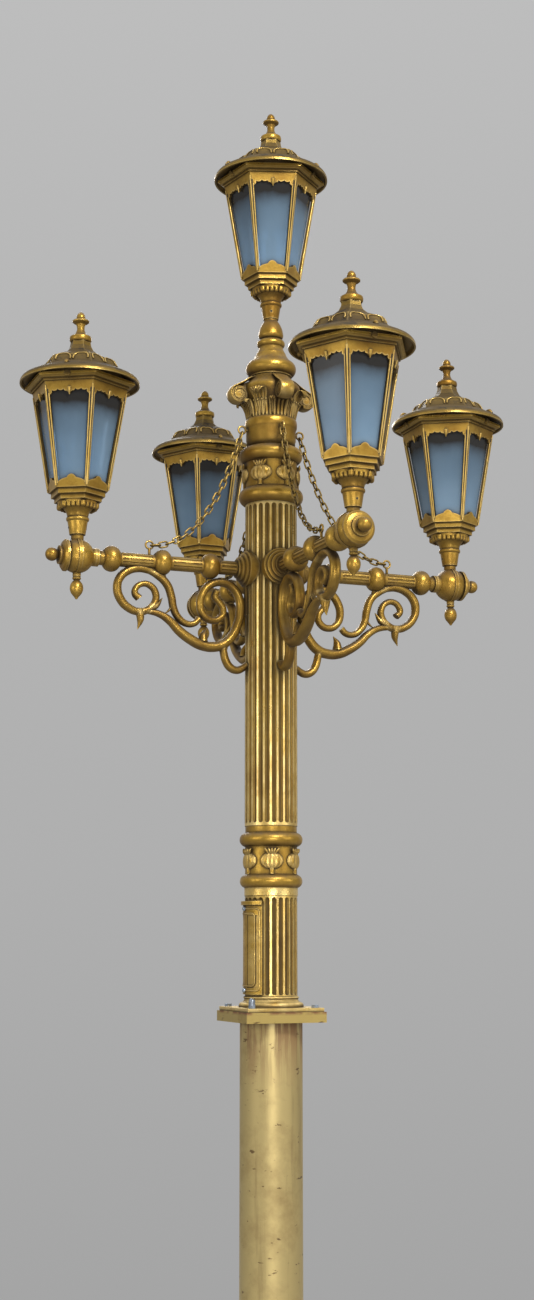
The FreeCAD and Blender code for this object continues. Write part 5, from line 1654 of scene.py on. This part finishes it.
@dataclass(frozen=True)
class Studio:
    """Floor, backdrop, light and camera."""

    distance: float = 4.508
    azimuth: float = -21.68
    eye: float = 1.3609
    pitch: float = 9.03
    yaw: float = 0.128
    focal: float = 1824.0 / 1300.0
    sensor: float = 24.0
    floor_radius: float = 2.4
    floor_level: float = -0.001
    flank_level: float = 0.86

    LAMPS = (
        StudioLamp("key", (0.15, -4.3, 5.3), 2.1, 205.0, 0.9, (1.0, 0.98, 0.94)),
        StudioLamp("low", (-1.3, -4.6, 1.1), 1.6, 66.0, 1.5),
        StudioLamp("left", (-4.5, -1.0, 2.3), 1.9, 34.0, 2.0),
        StudioLamp("right", (3.0, -3.6, 2.1), 1.9, 26.0, 2.0),
        StudioLamp("back", (0.9, 4.6, 4.8), 2.1, 120.0, 2.0, (0.98, 0.99, 1.0)),
    )
    SKY = ((0.0, 0.30), (0.30, 0.33), (0.42, 0.38), (0.52, 0.43), (0.64, 0.46), (0.80, 0.54), (1.0, 0.74))
    SKY_NODES = {
        "output": "ShaderNodeOutputWorld",
        "coords": "ShaderNodeTexCoord",
        "parts": "ShaderNodeSeparateXYZ",
        "spread": "ShaderNodeMapRange",
        "ramp": "ShaderNodeValToRGB",
        "across": "ShaderNodeVectorMath",
        "size": "ShaderNodeMath",
        "flank": "ShaderNodeMapRange",
        "light": "ShaderNodeBackground",
    }
    SKY_LINKS = (
        ("coords", "Generated", "parts", "Vector"),
        ("parts", "Z", "spread", "Value"),
        ("spread", "Result", "ramp", "Fac"),
        ("coords", "Generated", "across", 0),
        ("across", "Value", "size", 0),
        ("size", "Value", "flank", "Value"),
        ("ramp", "Color", "light", "Color"),
        ("flank", "Result", "light", "Strength"),
        ("light", "Background", "output", "Surface"),
    )

    def floor(self) -> None:
        """A plain pale floor."""
        mesh = bpy.data.meshes.new("floor")
        builder = bmesh.new()
        bmesh.ops.create_circle(builder, cap_ends=True, segments=96, radius=self.floor_radius)
        builder.to_mesh(mesh)
        builder.free()
        obj = bpy.data.objects.new("floor", mesh)
        obj.location = (0.0, 0.0, self.floor_level)
        bpy.context.scene.collection.objects.link(obj)
        maker = NodeMaker("floor_grey")
        mesh.materials.append(maker.surface(Base_Color=(0.50, 0.50, 0.50), Roughness=0.8))

    def sky(self) -> None:
        """Soft overcast light, brighter above and a little darker to both sides, as a plain grey."""
        world = bpy.data.worlds.new("overcast")
        bpy.context.scene.world = world
        world.use_nodes = True
        tree = world.node_tree
        tree.nodes.clear()
        nodes = add_nodes(tree, self.SKY_NODES)
        nodes["spread"].inputs["From Min"].default_value = -1.0
        stops = nodes["ramp"].color_ramp.elements
        stops[0].position = self.SKY[0][0]
        stops[1].position = self.SKY[-1][0]
        for position, _ in self.SKY[1:-1]:
            stops.new(position)
        for stop, (_, level) in zip(stops, self.SKY):
            stop.color = (level, level, level, 1.0)
        turn = math.radians(self.azimuth)
        nodes["across"].operation = "DOT_PRODUCT"
        nodes["across"].inputs[1].default_value = (math.cos(turn), math.sin(turn), 0.0)
        nodes["size"].operation = "ABSOLUTE"
        flank = {"From Min": 0.25, "From Max": 0.9, "To Min": 1.0, "To Max": self.flank_level}
        for name, value in flank.items():
            nodes["flank"].inputs[name].default_value = value
        wire(tree, nodes, self.SKY_LINKS)

    def camera(self) -> None:
        """The photo's view."""
        data = bpy.data.cameras.new("camera")
        data.sensor_fit = "VERTICAL"
        data.sensor_height = self.sensor
        data.lens = self.sensor * self.focal
        obj = bpy.data.objects.new("camera", data)
        angle = math.radians(self.azimuth)
        obj.location = (math.sin(angle) * self.distance, -math.cos(angle) * self.distance, self.eye)
        obj.rotation_euler = (math.radians(90.0 + self.pitch), 0.0, angle + math.radians(self.yaw))
        bpy.context.scene.collection.objects.link(obj)
        bpy.context.scene.camera = obj

    def build(self) -> None:
        """Sets the whole stage."""
        self.floor()
        self.sky()
        for lamp in self.LAMPS:
            lamp.build()
        self.camera()
        bpy.context.scene.view_settings.view_transform = "Standard"


def main() -> None:
    """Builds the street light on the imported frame."""
    logging.basicConfig(level=logging.INFO)
    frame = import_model()
    finishes = Finishes()
    dress_nodes(frame, finishes)
    grower = Grower()
    pieces = Brackets(grower, finishes.scroll).build()
    pieces += Capital(grower, finishes.gold).build()
    pieces += FriezeHeads(grower, finishes.gold).build()
    pieces += DoorTrim(grower, finishes.gold).build()
    trim = LanternTrim(grower, finishes.bead, finishes.edge, finishes.groove)
    acorn = RoofFinial(finishes.gold)
    sleeve = LampSleeve(finishes.holder)
    for station in lantern_stations():
        pieces += trim.build(station) + acorn.build(station) + sleeve.build(station)
    for piece in pieces:
        LOG.info("%s: %d faces", piece.name, len(piece.data.polygons))
    Studio().build()
    LOG.info("street light dressed: %d nodes", len(frame["nodes"]))


if __name__ == "__main__":
    main()
